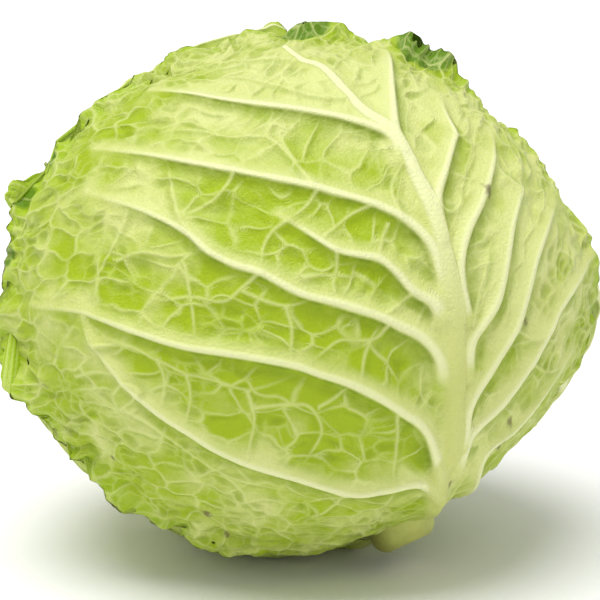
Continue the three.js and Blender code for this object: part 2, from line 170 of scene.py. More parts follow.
# Level 0 is the midrib, 1 a side rib, 2 a small vein of the front leaf and 3 one of another leaf.
# Each has, at its base and at its end, a half width, a height, and the height of blade it holds up.
FRONT_VEINS = {
    0: ((4.8, 1.3), (1.7, 0.6), (1.0, 0.8)),
    1: ((1.6, 0.7), (0.5, 0.3), (1.3, 0.7)),
    2: ((0.85, 0.55), (0.3, 0.2), (0.9, 0.6)),
}
RULED_VEINS = {
    0: ((4.2, 1.4), (1.6, 0.6), (1.0, 0.8)),
    1: ((1.5, 0.6), (0.5, 0.3), (1.2, 0.6)),
    3: ((0.6, 0.4), (0.2, 0.1), (0.7, 0.3)),
}

# Ribs of the leaves behind the front leaf, where the CAD model has them
MIDRIB_WANDER = 2
RIB_COUNT = 12
RIB_FIRST = -88
RIB_STEP = 27
RIB_STEP_DRAW = 8
RIB_LENGTH = 92
RIB_LENGTH_LOSS = 6
RIB_LENGTH_DRAW = 10
RIB_RISE = 0.75
RIB_BEND = 0.65
RIB_WANDER = 1.6
BRANCH_SPACING = 12

# The heart's folds and net, and its seat on the stem
HEART_FOLD = 0.8
HEART_GAP = 1.7
HEART_NET = 9
HEART_VEIN = (0.7, 0.6)
HEART_SEAT = 12

# Where a vein's line is painted, in half widths across it, positive below: starts, full, holds, ends
LINES = {
    "midrib": (-1.15, -0.75, 0.85, 1.0), "rib": (-1.2, -0.3, 0.5, 1.05), "twig": (-1.4, -0.2, 0.2, 1.1),
    "net": (-1.4, -0.1, 0.1, 1.1), "mesh": (-1.5, -0.1, 0.1, 1.3),
}

# Where the shade below a vein is painted, in the same way, and how strong it is
SHADES = {
    "rib": ((0.8, 1.4, 2.4, 6.5), 1.0), "twig": ((0.8, 1.6, 2.2, 4.5), 0.7),
    "net": ((0.8, 1.8, 2.4, 4.8), 0.7),
}

# Floor and light
FLOOR_HALF_WIDTH = 40
SKY_STRENGTH = 0.6
SUN_STRENGTH = 2.5
SUN_SPREAD = 42
SUN_TURN = (11, -10)
FAR_CLIP = 200

# Outlines, frills and curls: angle in degrees round the middle of a leaf, then millimetres, or degrees
# of curl. The front leaf reaches further than the CAD model's, as its curled margin takes up length.
# Flaps: angle, half their breadth in degrees, and height.
FRONT_OUTLINE = [
    (0, 122), (30, 120), (60, 117), (90, 112), (110, 114), (124, 119), (144, 125), (158, 125),
    (170, 126), (182, 118), (195, 115), (206, 115), (220, 120), (235, 122), (245, 125), (258, 131),
    (270, 128), (282, 131), (295, 127), (315, 121), (340, 122),
]
FRONT_FRILL = [
    (0, 1.5), (20, 3), (40, 4), (62, 4), (85, 3), (110, 3), (140, 3), (180, 4), (205, 6), (225, 4),
    (242, 2), (270, 0), (320, 2),
]
FRONT_FLAPS = [(38, 9, 5), (60, 8, 5), (170, 13, 5), (203, 9, 3)]
FRONT_CURL = [
    (0, 15), (25, 40), (40, 80), (60, 80), (80, 50), (105, 50), (120, 55), (142, 60), (155, 50),
    (170, 40), (185, 45), (204, 45), (222, 20), (236, 15), (250, 0), (292, 0), (310, 10), (335, 15),
]
WRAPPER_OUTLINE = [
    (0, 112), (35, 114), (65, 112), (90, 106), (115, 112), (145, 114), (180, 112), (210, 112),
    (230, 117), (247, 126), (260, 131), (270, 128), (280, 131), (293, 126), (310, 117), (330, 112),
]
WRAPPER_FRILL = [(0, 4), (60, 7), (120, 7), (180, 5), (220, 4), (245, 1), (270, 0), (295, 1), (320, 4)]
WRAPPER_CURL = [
    (0, 50), (45, 90), (90, 80), (135, 90), (180, 60), (215, 40), (245, 0), (290, 0), (320, 40),
]
CROWN_OUTLINE = [
    (0, 90), (30, 97), (60, 104), (90, 101), (120, 104), (150, 97), (180, 90), (215, 90),
    (238, 108), (254, 142), (270, 190), (286, 142), (302, 108), (325, 90),
]
CROWN_FRILL = [(0, 3), (60, 4), (90, 4), (120, 4), (180, 3), (240, 0), (300, 0)]
CROWN_CURL = [(0, 40), (60, 70), (120, 70), (180, 40), (225, 0), (315, 0)]

# Dark margins: angle in degrees, then millimetres of the margin that are dark green
FRONT_DARK = [
    (0, 2), (24, 5), (32, 9), (41, 9), (46, 3), (52, 8), (64, 8), (71, 3), (90, 2), (106, 4),
    (116, 8), (134, 13), (145, 10), (157, 6), (168, 8), (180, 7), (190, 4), (203, 9), (221, 6),
    (236, 3), (250, 0), (290, 0), (320, 2), (340, 3),
]
WRAPPER_DARK = [(0, 3), (60, 5), (120, 5), (180, 4), (225, 3), (250, 0), (290, 0), (315, 3)]

# Veins of the front leaf, as pixels of the picture that lie on it, base end first
MIDRIB = [
    (420, 520), (436, 482), (449, 453), (454, 400), (454, 330), (452, 300), (443, 249), (431, 210),
    (414, 172), (393, 134), (363, 111), (344, 90), (321, 67), (300, 60), (285, 48),
]
SIDE_RIBS = [
    [(398, 150), (394, 128), (392, 105), (390, 77), (387, 50)],
    [(402, 160), (390, 138), (370, 127), (338, 118), (300, 111), (230, 102), (182, 93), (149, 90)],
    [(444, 296), (438, 264), (426, 240), (406, 221), (377, 206), (338, 194), (300, 184), (249, 174),
     (191, 163), (143, 154), (96, 149)],
    [(442, 316), (430, 301), (412, 291), (396, 273), (379, 259), (359, 255), (336, 250), (312, 235),
     (296, 225), (280, 218)],
    [(444, 388), (438, 358), (422, 338), (400, 326), (376, 315), (338, 303), (300, 293), (262, 273),
     (236, 265), (210, 252), (186, 232), (150, 213), (122, 203), (86, 193)],
    [(438, 490), (434, 452), (422, 426), (401, 411), (377, 396), (348, 382), (319, 373), (292, 364),
     (230, 353), (184, 346), (138, 332), (99, 318), (77, 311), (34, 307)],
    [(440, 498), (422, 483), (386, 489), (357, 493), (329, 487), (300, 478), (249, 463), (215, 448),
     (191, 433), (158, 412), (124, 383), (100, 354), (88, 336), (82, 319)],
    [(440, 236), (436, 208), (437, 192), (442, 176), (451, 145), (453, 134), (445, 115), (440, 96)],
    [(464, 320), (459, 268), (466, 232), (478, 207), (487, 182), (493, 153), (493, 134)],
    [(466, 372), (470, 342), (486, 318), (497, 298), (507, 249), (512, 220), (520, 191), (518, 172)],
    [(460, 450), (468, 407), (491, 367), (514, 329), (524, 300), (535, 258), (547, 226), (556, 199)],
    [(456, 470), (470, 434), (501, 403), (530, 363), (549, 329), (564, 300), (591, 254)],
    [(452, 494), (480, 462), (515, 428), (545, 392), (572, 352)],
]
SIDE_VEINS = [
    [(346, 99), (308, 93), (265, 80), (232, 74), (200, 76)],
    [(293, 60), (252, 56), (212, 62), (190, 72)],
    [(314, 186), (299, 167), (285, 150), (265, 136), (228, 135), (201, 130), (171, 128), (150, 136)],
    [(265, 136), (272, 124), (285, 113)],
    [(389, 222), (382, 240), (378, 257)],
    [(318, 190), (306, 206), (290, 219)],
    [(288, 221), (272, 232), (263, 248), (262, 271)],
    [(336, 250), (337, 268), (333, 284), (338, 301)],
    [(300, 278), (318, 275), (338, 276), (362, 277)],
    [(414, 291), (400, 303), (388, 312), (376, 316)],
    [(372, 206), (352, 214), (336, 227), (322, 238), (318, 244)],
    [(389, 323), (376, 338), (360, 341), (340, 341), (324, 352), (308, 364)],
    [(370, 342), (364, 360), (360, 384)],
    [(208, 252), (182, 221), (172, 192), (166, 158)],
    [(236, 172), (218, 196), (190, 212), (182, 222)],
    [(262, 271), (240, 290), (222, 302), (190, 297), (160, 300), (140, 292)],
    [(184, 262), (188, 286), (192, 312), (196, 344)],
    [(130, 208), (112, 246), (96, 278), (100, 316)],
    [(112, 262), (140, 252), (170, 256), (206, 252)],
    [(240, 290), (262, 300), (286, 306), (312, 300)],
    [(286, 306), (292, 330), (290, 362)],
    [(92, 346), (124, 345), (150, 356), (186, 374), (220, 382), (247, 390), (275, 384), (300, 372)],
    [(158, 358), (164, 384), (160, 412)],
    [(186, 374), (190, 400), (184, 428)],
    [(247, 390), (254, 420), (250, 444), (247, 462)],
    [(249, 410), (285, 406), (310, 408), (322, 430), (314, 450), (296, 474)],
    [(318, 408), (335, 398), (350, 384)],
    [(112, 396), (124, 384), (140, 392), (120, 410), (100, 416)],
    [(124, 410), (150, 424), (186, 452), (222, 474), (262, 488), (300, 494)],
    [(222, 474), (240, 492), (254, 512), (300, 520)],
    [(72, 378), (98, 372), (115, 376)],
    [(396, 411), (398, 440), (392, 487)],
    [(345, 492), (330, 510), (300, 526)],
    [(453, 138), (468, 132), (468, 113)],
    [(470, 330), (478, 300), (486, 270), (490, 240)],
    [(520, 191), (499, 168), (497, 150)],
    [(518, 172), (522, 155), (512, 138)],
    [(530, 363), (548, 372), (562, 366)],
    [(515, 330), (540, 338), (560, 312)],
    [(400, 218), (392, 188), (404, 160)],
    [(437, 205), (452, 212), (462, 200), (456, 184)],
]

# Places of the front leaf where its blade is a fuller green: pixel, pixels across, strength
GREEN_PLACES = [
    ((345, 430), 45, 0.7), ((392, 352), 26, 0.6), ((262, 415), 40, 0.3), ((330, 225), 45, 0.4),
    ((300, 240), 60, 0.25), ((230, 320), 60, 0.25), ((330, 330), 40, 0.3), ((75, 262), 30, 0.5),
    ((60, 400), 40, 0.4), ((120, 115), 40, 0.4), ((140, 480), 50, 0.4), ((545, 395), 32, 0.3),
    ((500, 270), 90, -0.5), ((560, 260), 60, -0.25), ((430, 100), 120, -0.5),
    ((250, 50), 100, -0.4), ((480, 440), 60, -0.35), ((420, 330), 30, -0.3),
    ((110, 360), 26, -0.35), ((130, 225), 40, -0.3), ((250, 490), 60, -0.15),
    ((100, 440), 30, -0.3), ((340, 95), 60, -0.5), ((185, 112), 40, -0.35), ((262, 105), 50, -0.25),
    ((300, 262), 70, 0.2), ((112, 338), 34, 0.3), ((210, 338), 60, 0.25), ((110, 490), 60, -0.3),
    ((300, 235), 70, 0.15), ((540, 260), 90, -0.2), ((395, 262), 40, 0.2),
]

# Dark frills at the top and upper left of the front leaf: leaf millimetres, their reach, strength
DARK_FRILLS = [
    ((48, 106), 13, 3), ((92, 73), 14, 3), ((-75, 95), 7, 2.2), ((-90, 82), 7, 2.2),
    ((-107, 62), 7, 2),
]

# Small brown marks on the front leaf: pixel, pixels across
SCARS = [
    ((448, 482), 4), ((500, 445), 6), ((487, 192), 6), ((205, 518), 6), ((225, 540), 4),
    ((526, 322), 4), ((110, 460), 3), ((440, 500), 4), ((510, 422), 5),
]


# Helpers for the formulas

def smooth(low, high, value):
    """0 up to low, 1 from high, and a smooth step between them."""
    share = np.clip((value - low) / (high - low), 0, 1)
    return share * share * (3 - 2 * share)


def mix(a, b, share):
    return a + (b - a) * share


def draw(column, row, seed):
    """Seeded draw from 0 to 1 for a place in a grid."""
    value = np.sin(column * 127.1 + row * 311.7 + seed * 74.7) * 43758.5453
    return value - np.floor(value)


def noise(x, y, size, seed):
    """Smooth uneven field, about -1 to 1, with bumps about size across."""
    x, y = x / size, y / size
    i, j = np.floor(x), np.floor(y)
    x, y = x - i, y - j
    s, t = (part * part * part * (part * (6 * part - 15) + 10) for part in (x, y))
    total = 0
    for a, across in ((0, 1 - s), (1, s)):
        for b, up in ((0, 1 - t), (1, t)):
            turn = 2 * math.pi * draw(i + a, j + b, seed)
            total += across * up * (np.cos(turn) * (x - a) + np.sin(turn) * (y - b))
    return 1.6 * total


def unit(vector):
    return vector / np.linalg.norm(vector)


def turn_apart(d, axis):
    """Angle between directions and an axis, in radians."""
    return np.arccos(np.clip(d @ axis, -1, 1))


def round_curve(pairs):
    """Smooth closed curve through (degrees, value) pairs, sampled all round the circle."""
    degrees = np.array([pair[0] for pair in pairs], float)
    values = np.array([pair[1] for pair in pairs], float)
    count = len(pairs)
    index = np.arange(-2, count + 3)
    at = degrees[index % count] + 360 * (index // count)
    value = values[index % count]
    slope = np.zeros(len(index))
    slope[1:-1] = (value[2:] - value[:-2]) / (at[2:] - at[:-2])
    samples = np.arange(OUTLINE_STEPS) * 360 / OUTLINE_STEPS
    k = np.clip(np.searchsorted(at, samples, side="right") - 1, 1, len(index) - 3)
    span = at[k + 1] - at[k]
    u = (samples - at[k]) / span
    return (value[k] * (2 * u**3 - 3 * u**2 + 1) + slope[k] * span * (u**3 - 2 * u**2 + u)
            + value[k + 1] * (3 * u**2 - 2 * u**3) + slope[k + 1] * span * (u**3 - u**2))


def read_round(samples, angle):
    """Reads a curve made by round_curve at angles in radians."""
    step = (angle / (2 * math.pi)) % 1 * OUTLINE_STEPS
    low = np.floor(step).astype(int) % OUTLINE_STEPS
    return mix(samples[low], samples[(low + 1) % OUTLINE_STEPS], step - np.floor(step))


# The head

CENTRE = np.array([0, 0, CENTRE_HEIGHT])
LOOK_RIGHT = np.array([1.0, 0, 0])
LOOK_UP = np.array([0, math.sin(math.radians(VIEW_TILT)), math.cos(math.radians(VIEW_TILT))])
LOOK_AHEAD = np.cross(LOOK_UP, LOOK_RIGHT)
EYE = CENTRE + VIEW_SHIFT * (LOOK_RIGHT - LOOK_UP) - VIEW_DISTANCE * LOOK_AHEAD
STEM_AXIS = np.array([
    math.sin(math.radians(STEM_TILT)) * math.cos(math.radians(STEM_HEADING)),
    math.sin(math.radians(STEM_TILT)) * math.sin(math.radians(STEM_HEADING)),
    -math.cos(math.radians(STEM_TILT)),
])
STEM_FRONT = unit(np.array([0, -1.0, 0]) + STEM_AXIS[1] * STEM_AXIS)
STEM_RIGHT = np.cross(STEM_FRONT, STEM_AXIS)


def stem_direction(from_stem, around):
    a, b = math.radians(from_stem), math.radians(around)
    side = math.cos(b) * STEM_FRONT + math.sin(b) * STEM_RIGHT
    return math.cos(a) * STEM_AXIS + math.sin(a) * side


def head_radius(d):
    """Smooth outside of the head along directions from its middle, before the surface it lies on."""
    half_height = np.where(d[:, 2] > 0, HEIGHT_ABOVE, HEIGHT_BELOW)
    x, y, z = d[:, 0] / HALF_WIDTH, d[:, 1] / HALF_DEPTH, d[:, 2] / half_height
    radius = 1 / np.sqrt(x**2 + y**2 + z**2)
    radius -= HOLLOW_DEPTH * np.exp(-(MAP_RADIUS * turn_apart(d, STEM_AXIS) / HOLLOW_SPREAD)**2)
    for around, out, spread in SWELLINGS:
        a = math.radians(around)
        middle = math.cos(a) * LOOK_RIGHT + math.sin(a) * LOOK_UP
        radius += out * np.exp(-(turn_apart(d, middle) / math.radians(spread))**2)
    return radius


def floor_radius(d):
    down = np.maximum(-d[:, 2], 0.5)
    return np.where(d[:, 2] < -0.5, CENTRE_HEIGHT / down, 1e6)


def box_radius(d):
    """Distance from the middle of the head to just inside the box of the CAD model."""
    low, high = (np.array(corner, float) / MM - CENTRE for corner in CAD_BOX)
    walls = np.where(d > 0, high - BOX_GAP, low + BOX_GAP)
    faces = np.abs(d) > 1e-6
    return np.min(walls / np.where(faces, d, 1e-6), axis=1, where=faces, initial=1e6)


class Leaf:
    """A leaf on the head: where it lies, its outline and what lies over it."""

    def __init__(self, from_stem, around, outline, frill, curl, dark, waves, seed, outer, flaps=()):
        self.middle = stem_direction(from_stem, around)
        self.tip = stem_direction(from_stem + 90, around)
        self.right = np.cross(self.tip, self.middle)
        self.frill = round_curve(frill)
        self.curl = round_curve(curl)
        self.dark = round_curve(dark)
        self.flaps = flaps
        self.waves = waves
        self.seed = seed
        self.outer = outer
        self.veins = []
        self.reach = self.cut_back(round_curve(outline))

    def cut_back(self, reach):
        """Keeps the outline clear of the stem."""
        angle = np.arange(OUTLINE_STEPS) * 2 * math.pi / OUTLINE_STEPS
        reach = reach + SCALLOP * np.sin(SCALLOPS * angle + self.seed)
        for _ in range(TRIM_TURNS):
            d = self.direction(reach * np.cos(angle), reach * np.sin(angle))
            radius = head_radius(d) - LAYER * len(self.outer) - 1
            from_axis = radius * np.sin(np.minimum(turn_apart(d, STEM_AXIS), math.pi / 2))
            reach = np.where(from_axis < STEM_RADIUS + STEM_GAP, reach - TRIM_STEP, reach)
        return reach

    def direction(self, x, y):
        far = np.hypot(x, y)
        share = np.sin(far / MAP_RADIUS) / np.maximum(far, 1e-9)
        return (np.cos(far / MAP_RADIUS)[:, None] * self.middle
                + (share * x)[:, None] * self.right + (share * y)[:, None] * self.tip)

    def place(self, d):
        """Leaf millimetres of directions from the middle of the head."""
        far = MAP_RADIUS * turn_apart(d, self.middle)
        x, y = d @ self.right, d @ self.tip
        size = np.maximum(np.hypot(x, y), 1e-9)
        return far * x / size, far * y / size

    def cover(self, d):
        """1 where this leaf lies over a direction, falling to 0 a little way outside its margin."""
        angle = np.arctan2(d @ self.tip, d @ self.right)
        inside = read_round(self.reach, angle) - MAP_RADIUS * turn_apart(d, self.middle)
        return smooth(-TUCK_FAR, -TUCK_NEAR, inside)


def on_head(pixels):
    """Directions, from the middle of the head, of the places that pixels of the picture show on it."""
    pixels = np.array(pixels, float)
    focal = IMAGE_SIDE * VIEW_DISTANCE / VIEW_WIDTH
    across = pixels[:, :1] - IMAGE_SIDE / 2
    down = pixels[:, 1:] - IMAGE_SIDE / 2
    ray = focal * LOOK_AHEAD + across * LOOK_RIGHT - down * LOOK_UP
    ray /= np.linalg.norm(ray, axis=1)[:, None]
    start = EYE - CENTRE
    nearest = -(ray @ start)
    offset = np.linalg.norm(start + nearest[:, None] * ray, axis=1)
    along = nearest.copy()
    for _ in range(12):
        d = start + along[:, None] * ray
        d /= np.linalg.norm(d, axis=1)[:, None]
        along = nearest - np.sqrt(np.maximum(head_radius(d)**2 - offset**2, 0))
    d = start + along[:, None] * ray
    return d / np.linalg.norm(d, axis=1)[:, None]


# Veins

class Vein:
    """A vein's route in leaf millimetres, with the half width and height of its crest at its base and
    end, and the height of the blade that it holds up."""

    def __init__(self, route, width, height, tent, level):
        self.route = smooth_route(np.array(route, float))
        self.width = width
        self.height = height
        self.tent = tent
        self.level = level


def smooth_route(points, step=2.5):
    slopes = np.gradient(points, axis=0)
    pieces = []
    for i in range(len(points) - 1):
        count = max(1, math.ceil(np.linalg.norm(points[i + 1] - points[i]) / step))
        t = (np.arange(count) / count)[:, None]
        pieces.append(points[i] * (2 * t**3 - 3 * t**2 + 1) + slopes[i] * (t**3 - 2 * t**2 + t)
                      + points[i + 1] * (3 * t**2 - 2 * t**3) + slopes[i + 1] * (t**3 - t**2))
    pieces.append(points[-1:])
    return np.concatenate(pieces)


def nearest_on(route, x, y, limit):
    """Which places are within limit of a route, and their distance, share of the way along it, and
    whether they are above it (-1) or below it (1)."""
    near = np.flatnonzero((x > route[:, 0].min() - limit) & (x < route[:, 0].max() + limit)
                          & (y > route[:, 1].min() - limit) & (y < route[:, 1].max() + limit))
    px, py = x[near], y[near]
    best = np.full(px.shape, 1e9)
    share = np.zeros(px.shape)
    left = np.zeros(px.shape)
    for i in range(len(route) - 1):
        ax, ay = route[i]
        dx, dy = route[i + 1] - route[i]
        t = np.clip(((px - ax) * dx + (py - ay) * dy) / (dx * dx + dy * dy), 0, 1)
        ox, oy = px - ax - t * dx, py - ay - t * dy
        distance = np.hypot(ox, oy)
        closer = distance < best
        best = np.where(closer, distance, best)
        share = np.where(closer, (i + t) / (len(route) - 1), share)
        left = np.where(closer, dx * oy - dy * ox, left)
    runs_left = 1 if route[-1, 0] < route[0, 0] else -1
    return near, best, share, np.where(left > 0, runs_left, -runs_left)


def front_veins(leaf):
    """The front leaf's veins, from their pixels."""
    def route(pixels):
        return np.stack(leaf.place(on_head(pixels)), axis=1)

    routes = ([MIDRIB], SIDE_RIBS, SIDE_VEINS)
    return [Vein(route(pixels), *FRONT_VEINS[level], level)
            for level, lines in enumerate(routes) for pixels in lines]


def ruled_veins(base, top, lean, seed):
    """A midrib that leans a little, with side ribs that leave it in turn and bend towards the tip."""
    t = np.linspace(0, 1, 9)
    wander = MIDRIB_WANDER * np.sin(7 * t + seed)
    midrib = np.stack([lean * np.sin(math.pi * t) + wander, base + (top - base) * t], axis=1)
    veins = [Vein(midrib, *RULED_VEINS[0], 0)]
    for i in range(RIB_COUNT):
        hand = 1 if i % 2 else -1
        y = RIB_FIRST + RIB_STEP * (i / 2) + RIB_STEP_DRAW * draw(i, 1, seed)
        x = lean * math.sin(math.pi * (y - base) / (top - base))
        length = RIB_LENGTH - RIB_LENGTH_LOSS * (i / 2) + RIB_LENGTH_DRAW * draw(i, 2, seed)
        s = np.linspace(0, 1, 6)
        rise = RIB_RISE * mix(s, s * s, RIB_BEND)
        wander = RIB_WANDER * np.sin(9 * s + i + seed) * s
        route = np.stack([x + hand * length * s, y + length * rise + wander], axis=1)
        veins.append(Vein(route, *RULED_VEINS[1], 1))
    return veins


def branch_veins(ribs, spacing, seed):
    """Small veins that leave both sides of the side ribs in turn, and bend towards the margin."""
    veins = []
    for number, rib in enumerate(ribs):
        steps = np.linalg.norm(np.diff(rib.route, axis=0), axis=1)
        along = np.concatenate([[0], np.cumsum(steps)])
        count = int(along[-1] / spacing)
        for i in range(1, count):
            at = spacing * (i + 0.5 * draw(i, number, seed))
            k = min(int(np.searchsorted(along, at)), len(rib.route) - 2)
            ahead = unit(rib.route[k + 1] - rib.route[k - 1])
            side = np.array([-ahead[1], ahead[0]]) * (1 if i % 2 else -1)
            length = spacing * (0.9 + 0.7 * draw(i, number, seed + 1))
            lean = 0.3 + 0.5 * draw(i, number, seed + 2)
            bend = 0.5 * (draw(i, number, seed + 3) - 0.5)
            t = np.linspace(0, 1, 5)[:, None]
            route = rib.route[k] + length * (t * side + (lean * t + bend * np.sin(math.pi * t)) * ahead)
            veins.append(Vein(route, *RULED_VEINS[3], 3))
    return veins


def net_distance(x, y, size, seed):
    """Distance to the nearest edge of a seeded net of uneven cells, positive where that edge is above
    the place, how level the edge is, and a draw for each cell."""
    u, v = x / size, y / size
    i, j = np.floor(u), np.floor(v)
    best = np.full(u.shape, 1e9)
    bx, by, tone = np.zeros(u.shape), np.zeros(u.shape), np.zeros(u.shape)
    cells = []
    for di in (-2, -1, 0, 1, 2):
        for dj in (-2, -1, 0, 1, 2):
            px = i + di + 0.12 + 0.76 * draw(i + di, j + dj, seed) - u
            py = j + dj + 0.12 + 0.76 * draw(i + di, j + dj, seed + 9) - v
            cells.append((px, py))
            square = px * px + py * py
            closer = square < best
            best = np.where(closer, square, best)
            bx, by = np.where(closer, px, bx), np.where(closer, py, by)
            tone = np.where(closer, draw(i + di, j + dj, seed + 4), tone)
    edge = np.full(u.shape, 1e9)
    above = np.zeros(u.shape)
    for px, py in cells:
        gx, gy = px - bx, py - by
        gap = np.maximum(np.hypot(gx, gy), 1e-6)
        middle = np.where(gap > 1e-5, ((px + bx) * gx + (py + by) * gy) / (2 * gap), 1e9)
        above = np.where(middle < edge, gy / gap, above)
        edge = np.minimum(edge, middle)
    return edge * size * np.where(above > 0, 1, -1), np.abs(above), tone


def band(distance, half_width):
    """Section of a vein: flat on top with soft flanks."""
    return 1 / (1 + (distance / half_width)**4)


def vein_relief(leaf, x, y, uneven):
    """Crests of a leaf's veins, the rise that they give the blade, the grooves below ribs, the distance
    to the ribs, and what the material reads.

    For each kind of vein, "side" is how far across it a place is in half widths, positive below it,
    "near" is the strength of the vein there, and "wide" its strength over a wider strip.
    """
    crest, tent, groove = np.zeros(x.shape), np.zeros(x.shape), np.zeros(x.shape)
    rib_distance = np.full(x.shape, 60.0)
    reads = {}
    for kind, levels in (("midrib", (0,)), ("rib", (1,)), ("twig", (2, 3))):
        side, near = np.full(x.shape, FAR_ACROSS), np.zeros(x.shape)
        next_best = np.full(x.shape, FAR_ACROSS)
        for one in leaf.veins:
            if one.level not in levels:
                continue
            place, distance, share, hand = nearest_on(one.route, x, y, VEIN_REACH[one.level])
            flare = 1 + RIB_FLARE * np.exp(-share / 0.08) * (one.level == 1)
            wide = mix(*one.width, share) * flare * (1 + 0.15 * uneven[place])
            fade = 1 - smooth(0.7, 1.02, share) if one.level else 1 - 0.5 * share
            across = distance / wide
            closer = (across < np.abs(side[place])) & (share > 0)
            second = np.minimum(next_best[place], across)
            next_best[place] = np.where(closer, np.abs(side[place]), second)
            side[place[closer]] = (hand * across)[closer]
            if one.level == 0:
                strength = mix(0.45, 1, smooth(0.3, 0.7, share))
            else:
                strength = mix(1, 0.8, share) * fade * LEVEL_STRENGTH[one.level]
            if one.level == 1:
                strength = strength * smooth(0, 0.07, share)
            near[place[closer]] = strength[closer]
            broad = np.maximum(wide, MIN_CREST)
            outside = np.maximum(distance - 0.5 * broad, 0)
            below = hand * smooth(0, 2, across)
            spread = TENT_SPREAD[one.level] * (1 - TENT_LEAN * below)
            bell = np.exp(-(distance / broad)**2)
            slope = (1 + (outside / spread)**2)**1.5
            crest[place] += (mix(*one.height, share) * fade * bell)**3
            tent[place] += (mix(*one.tent, share) * fade / slope)**3
            if one.level < 2:
                rib_distance[place] = np.minimum(rib_distance[place], outside)
                if one.level:
                    line = np.exp(-((outside - 2) / 1.6)**2) * fade * np.maximum(below, 0)
                    groove[place] = np.maximum(groove[place], line)
        reads[kind + "_side"] = side
        clear = smooth(0, 1.6, next_best - np.abs(side))
        reads[kind + "_near"] = near * (1 - smooth(1.3, 2.2, np.abs(side)))
        reads[kind + "_wide"] = near * clear * (1 - smooth(4, 6.5, np.abs(side)))
    return crest, tent, groove, rib_distance, reads


def relief(leaf, x, y, to_margin, sizes):
    """Height of a leaf over its smooth form, distance to its ribs, and what its material reads."""
    uneven = noise(x, y, 11, leaf.seed + 31)
    crest, tent, groove, rib_distance, reads = vein_relief(leaf, x, y, uneven)
    warp_x, warp_y = (
        part + 3 * noise(x, y, 17, leaf.seed + k) + 1.1 * noise(x, y, 6, leaf.seed + k + 1)
        for part, k in ((x, 1), (y, 3)))
    lean = np.tanh(x / 6)
    flat, steep = NET_SLANT
    along = lean * warp_x * flat + warp_y * steep
    across = -lean * warp_x * steep + warp_y * flat
    open_blade = smooth(0.4, 5, rib_distance)
    coarse, level, cell = net_distance(along / NET_STRETCH, across, NET_CELL, leaf.seed + 5)
    fine, _, tone = net_distance(along / NET_STRETCH, across, MESH_CELL, leaf.seed + 6)
    net = open_blade * np.clip(0.8 + 0.6 * uneven, 0, 1)
    near_margin = 0.35 * (1 - to_margin / 45)
    pitted = open_blade * smooth(-0.25, 0.35, noise(x, y, 22, leaf.seed + 12) + near_margin)
    tent += (NET_RISE * net * np.exp(-(coarse / 2.4)**2))**3
    tent += (MESH_RISE * pitted * np.exp(-(fine / 1.2)**2))**3
    reads["net_side"] = coarse / NET_HALF_WIDTH
    reads["net_near"] = net * (1 - smooth(0.8, 1.4, np.abs(coarse)))
    reads["net_wide"] = net * level * (1 - smooth(1.6, 2.8, np.abs(coarse)))
    reads["mesh_side"] = fine / MESH_HALF_WIDTH
    reads["mesh_near"] = pitted * (1 - smooth(0.6, 1, np.abs(fine)))
    # Pitted cells sink, and the material darkens their hollows as painted shade
    pit = smooth(0.35, 0.75, tone) * pitted * (1 - np.exp(-(fine / 0.9)**2))

    crumpled = np.clip(1.25 - to_margin / CRUMPLE_REACH, 0, 1)
    crumpled *= smooth(-0.5, 0.3, noise(x, y, 19, leaf.seed + 9))
    inland = 0.5 * smooth(0.1, 0.6, noise(x, y, 21, leaf.seed + 10))
    crumpled = np.maximum(crumpled, inland) * open_blade
    fold = noise(along / WRINKLE[0], across, WRINKLE[1], leaf.seed + 7)
    fold += 0.4 * noise(along / SMALL_WRINKLE[0], across, SMALL_WRINKLE[1], leaf.seed + 8)
    # Valleys of the folds, which the material darkens as painted shade
    crease = crumpled * (1 - smooth(-0.42, -0.02, fold))
    swell = noise(x, y, 13, leaf.seed + 13) + 0.5 * noise(x, y, 6, leaf.seed + 14)
    sag = RIB_SAG * (1 - np.exp(-rib_distance / RIB_SAG_REACH))
    height = crest**(1 / 3) + tent**(1 / 3) - sag - GROOVE * groove
    puckers = crumpled * CRUMPLE * fold + SWELL * swell * open_blade - PIT_DEPTH * pit
    height += sizes.relief * puckers
    reads["pit"] = np.clip(pit, 0, 1)
    reads["crease"] = np.clip(crease, 0, 1)
    reads["tone"] = mix(0.5, cell, net)
    return height, rib_distance, reads


# Leaf surfaces

def degrees_apart(angle, middle):
    """How far angles in radians are from one given in degrees, in degrees."""
    return np.abs((np.degrees(angle) - middle + 180) % 360 - 180)


def frill_lift(leaf, around):
    """How far the margin stands off the head in slow waves and flaps."""
    bunching = FRILL_BUNCHING * np.sin(FRILL_BUNCHES * around + leaf.seed)
    wave = 0.5 + 0.5 * np.sin(leaf.waves * around + bunching)
    uneven = FRILL_STEADY + (1 - FRILL_STEADY) * np.sin(FRILL_PATCHES * around + 2 * leaf.seed)
    lift = read_round(leaf.frill, around) * wave * uneven
    for middle, half, high in leaf.flaps:
        lift += high * (1 - smooth(FLAP_CORE * half, half, degrees_apart(around, middle)))
    return lift


def rim_noise(angle, size, seed):
    """Uneven field along a leaf's margin, from -1 to 1, with bumps about size millimetres long."""
    return noise(MARGIN_RADIUS * np.cos(angle), MARGIN_RADIUS * np.sin(angle), size, seed)


def tooth(leaf, angle):
    """Small uneven cuts along a margin, in millimetres."""
    return 0.9 * rim_noise(angle, 6, leaf.seed + 21) + 0.4 * rim_noise(angle, 2.6, leaf.seed + 22)


def square_to_round(u, v):
    """For a square grid: share of the way from a leaf's middle to its margin, and angle round it."""
    sideways = np.abs(u) > np.abs(v)
    flat = np.where(sideways, v / np.where(u == 0, 1, u), u / np.where(v == 0, 1, v))
    quarter = math.pi / 4 * flat
    angle = np.where(sideways, np.where(u > 0, 0, math.pi) + quarter,
                     np.where(v > 0, math.pi / 2, -math.pi / 2) - quarter)
    return np.maximum(np.abs(u), np.abs(v)), angle


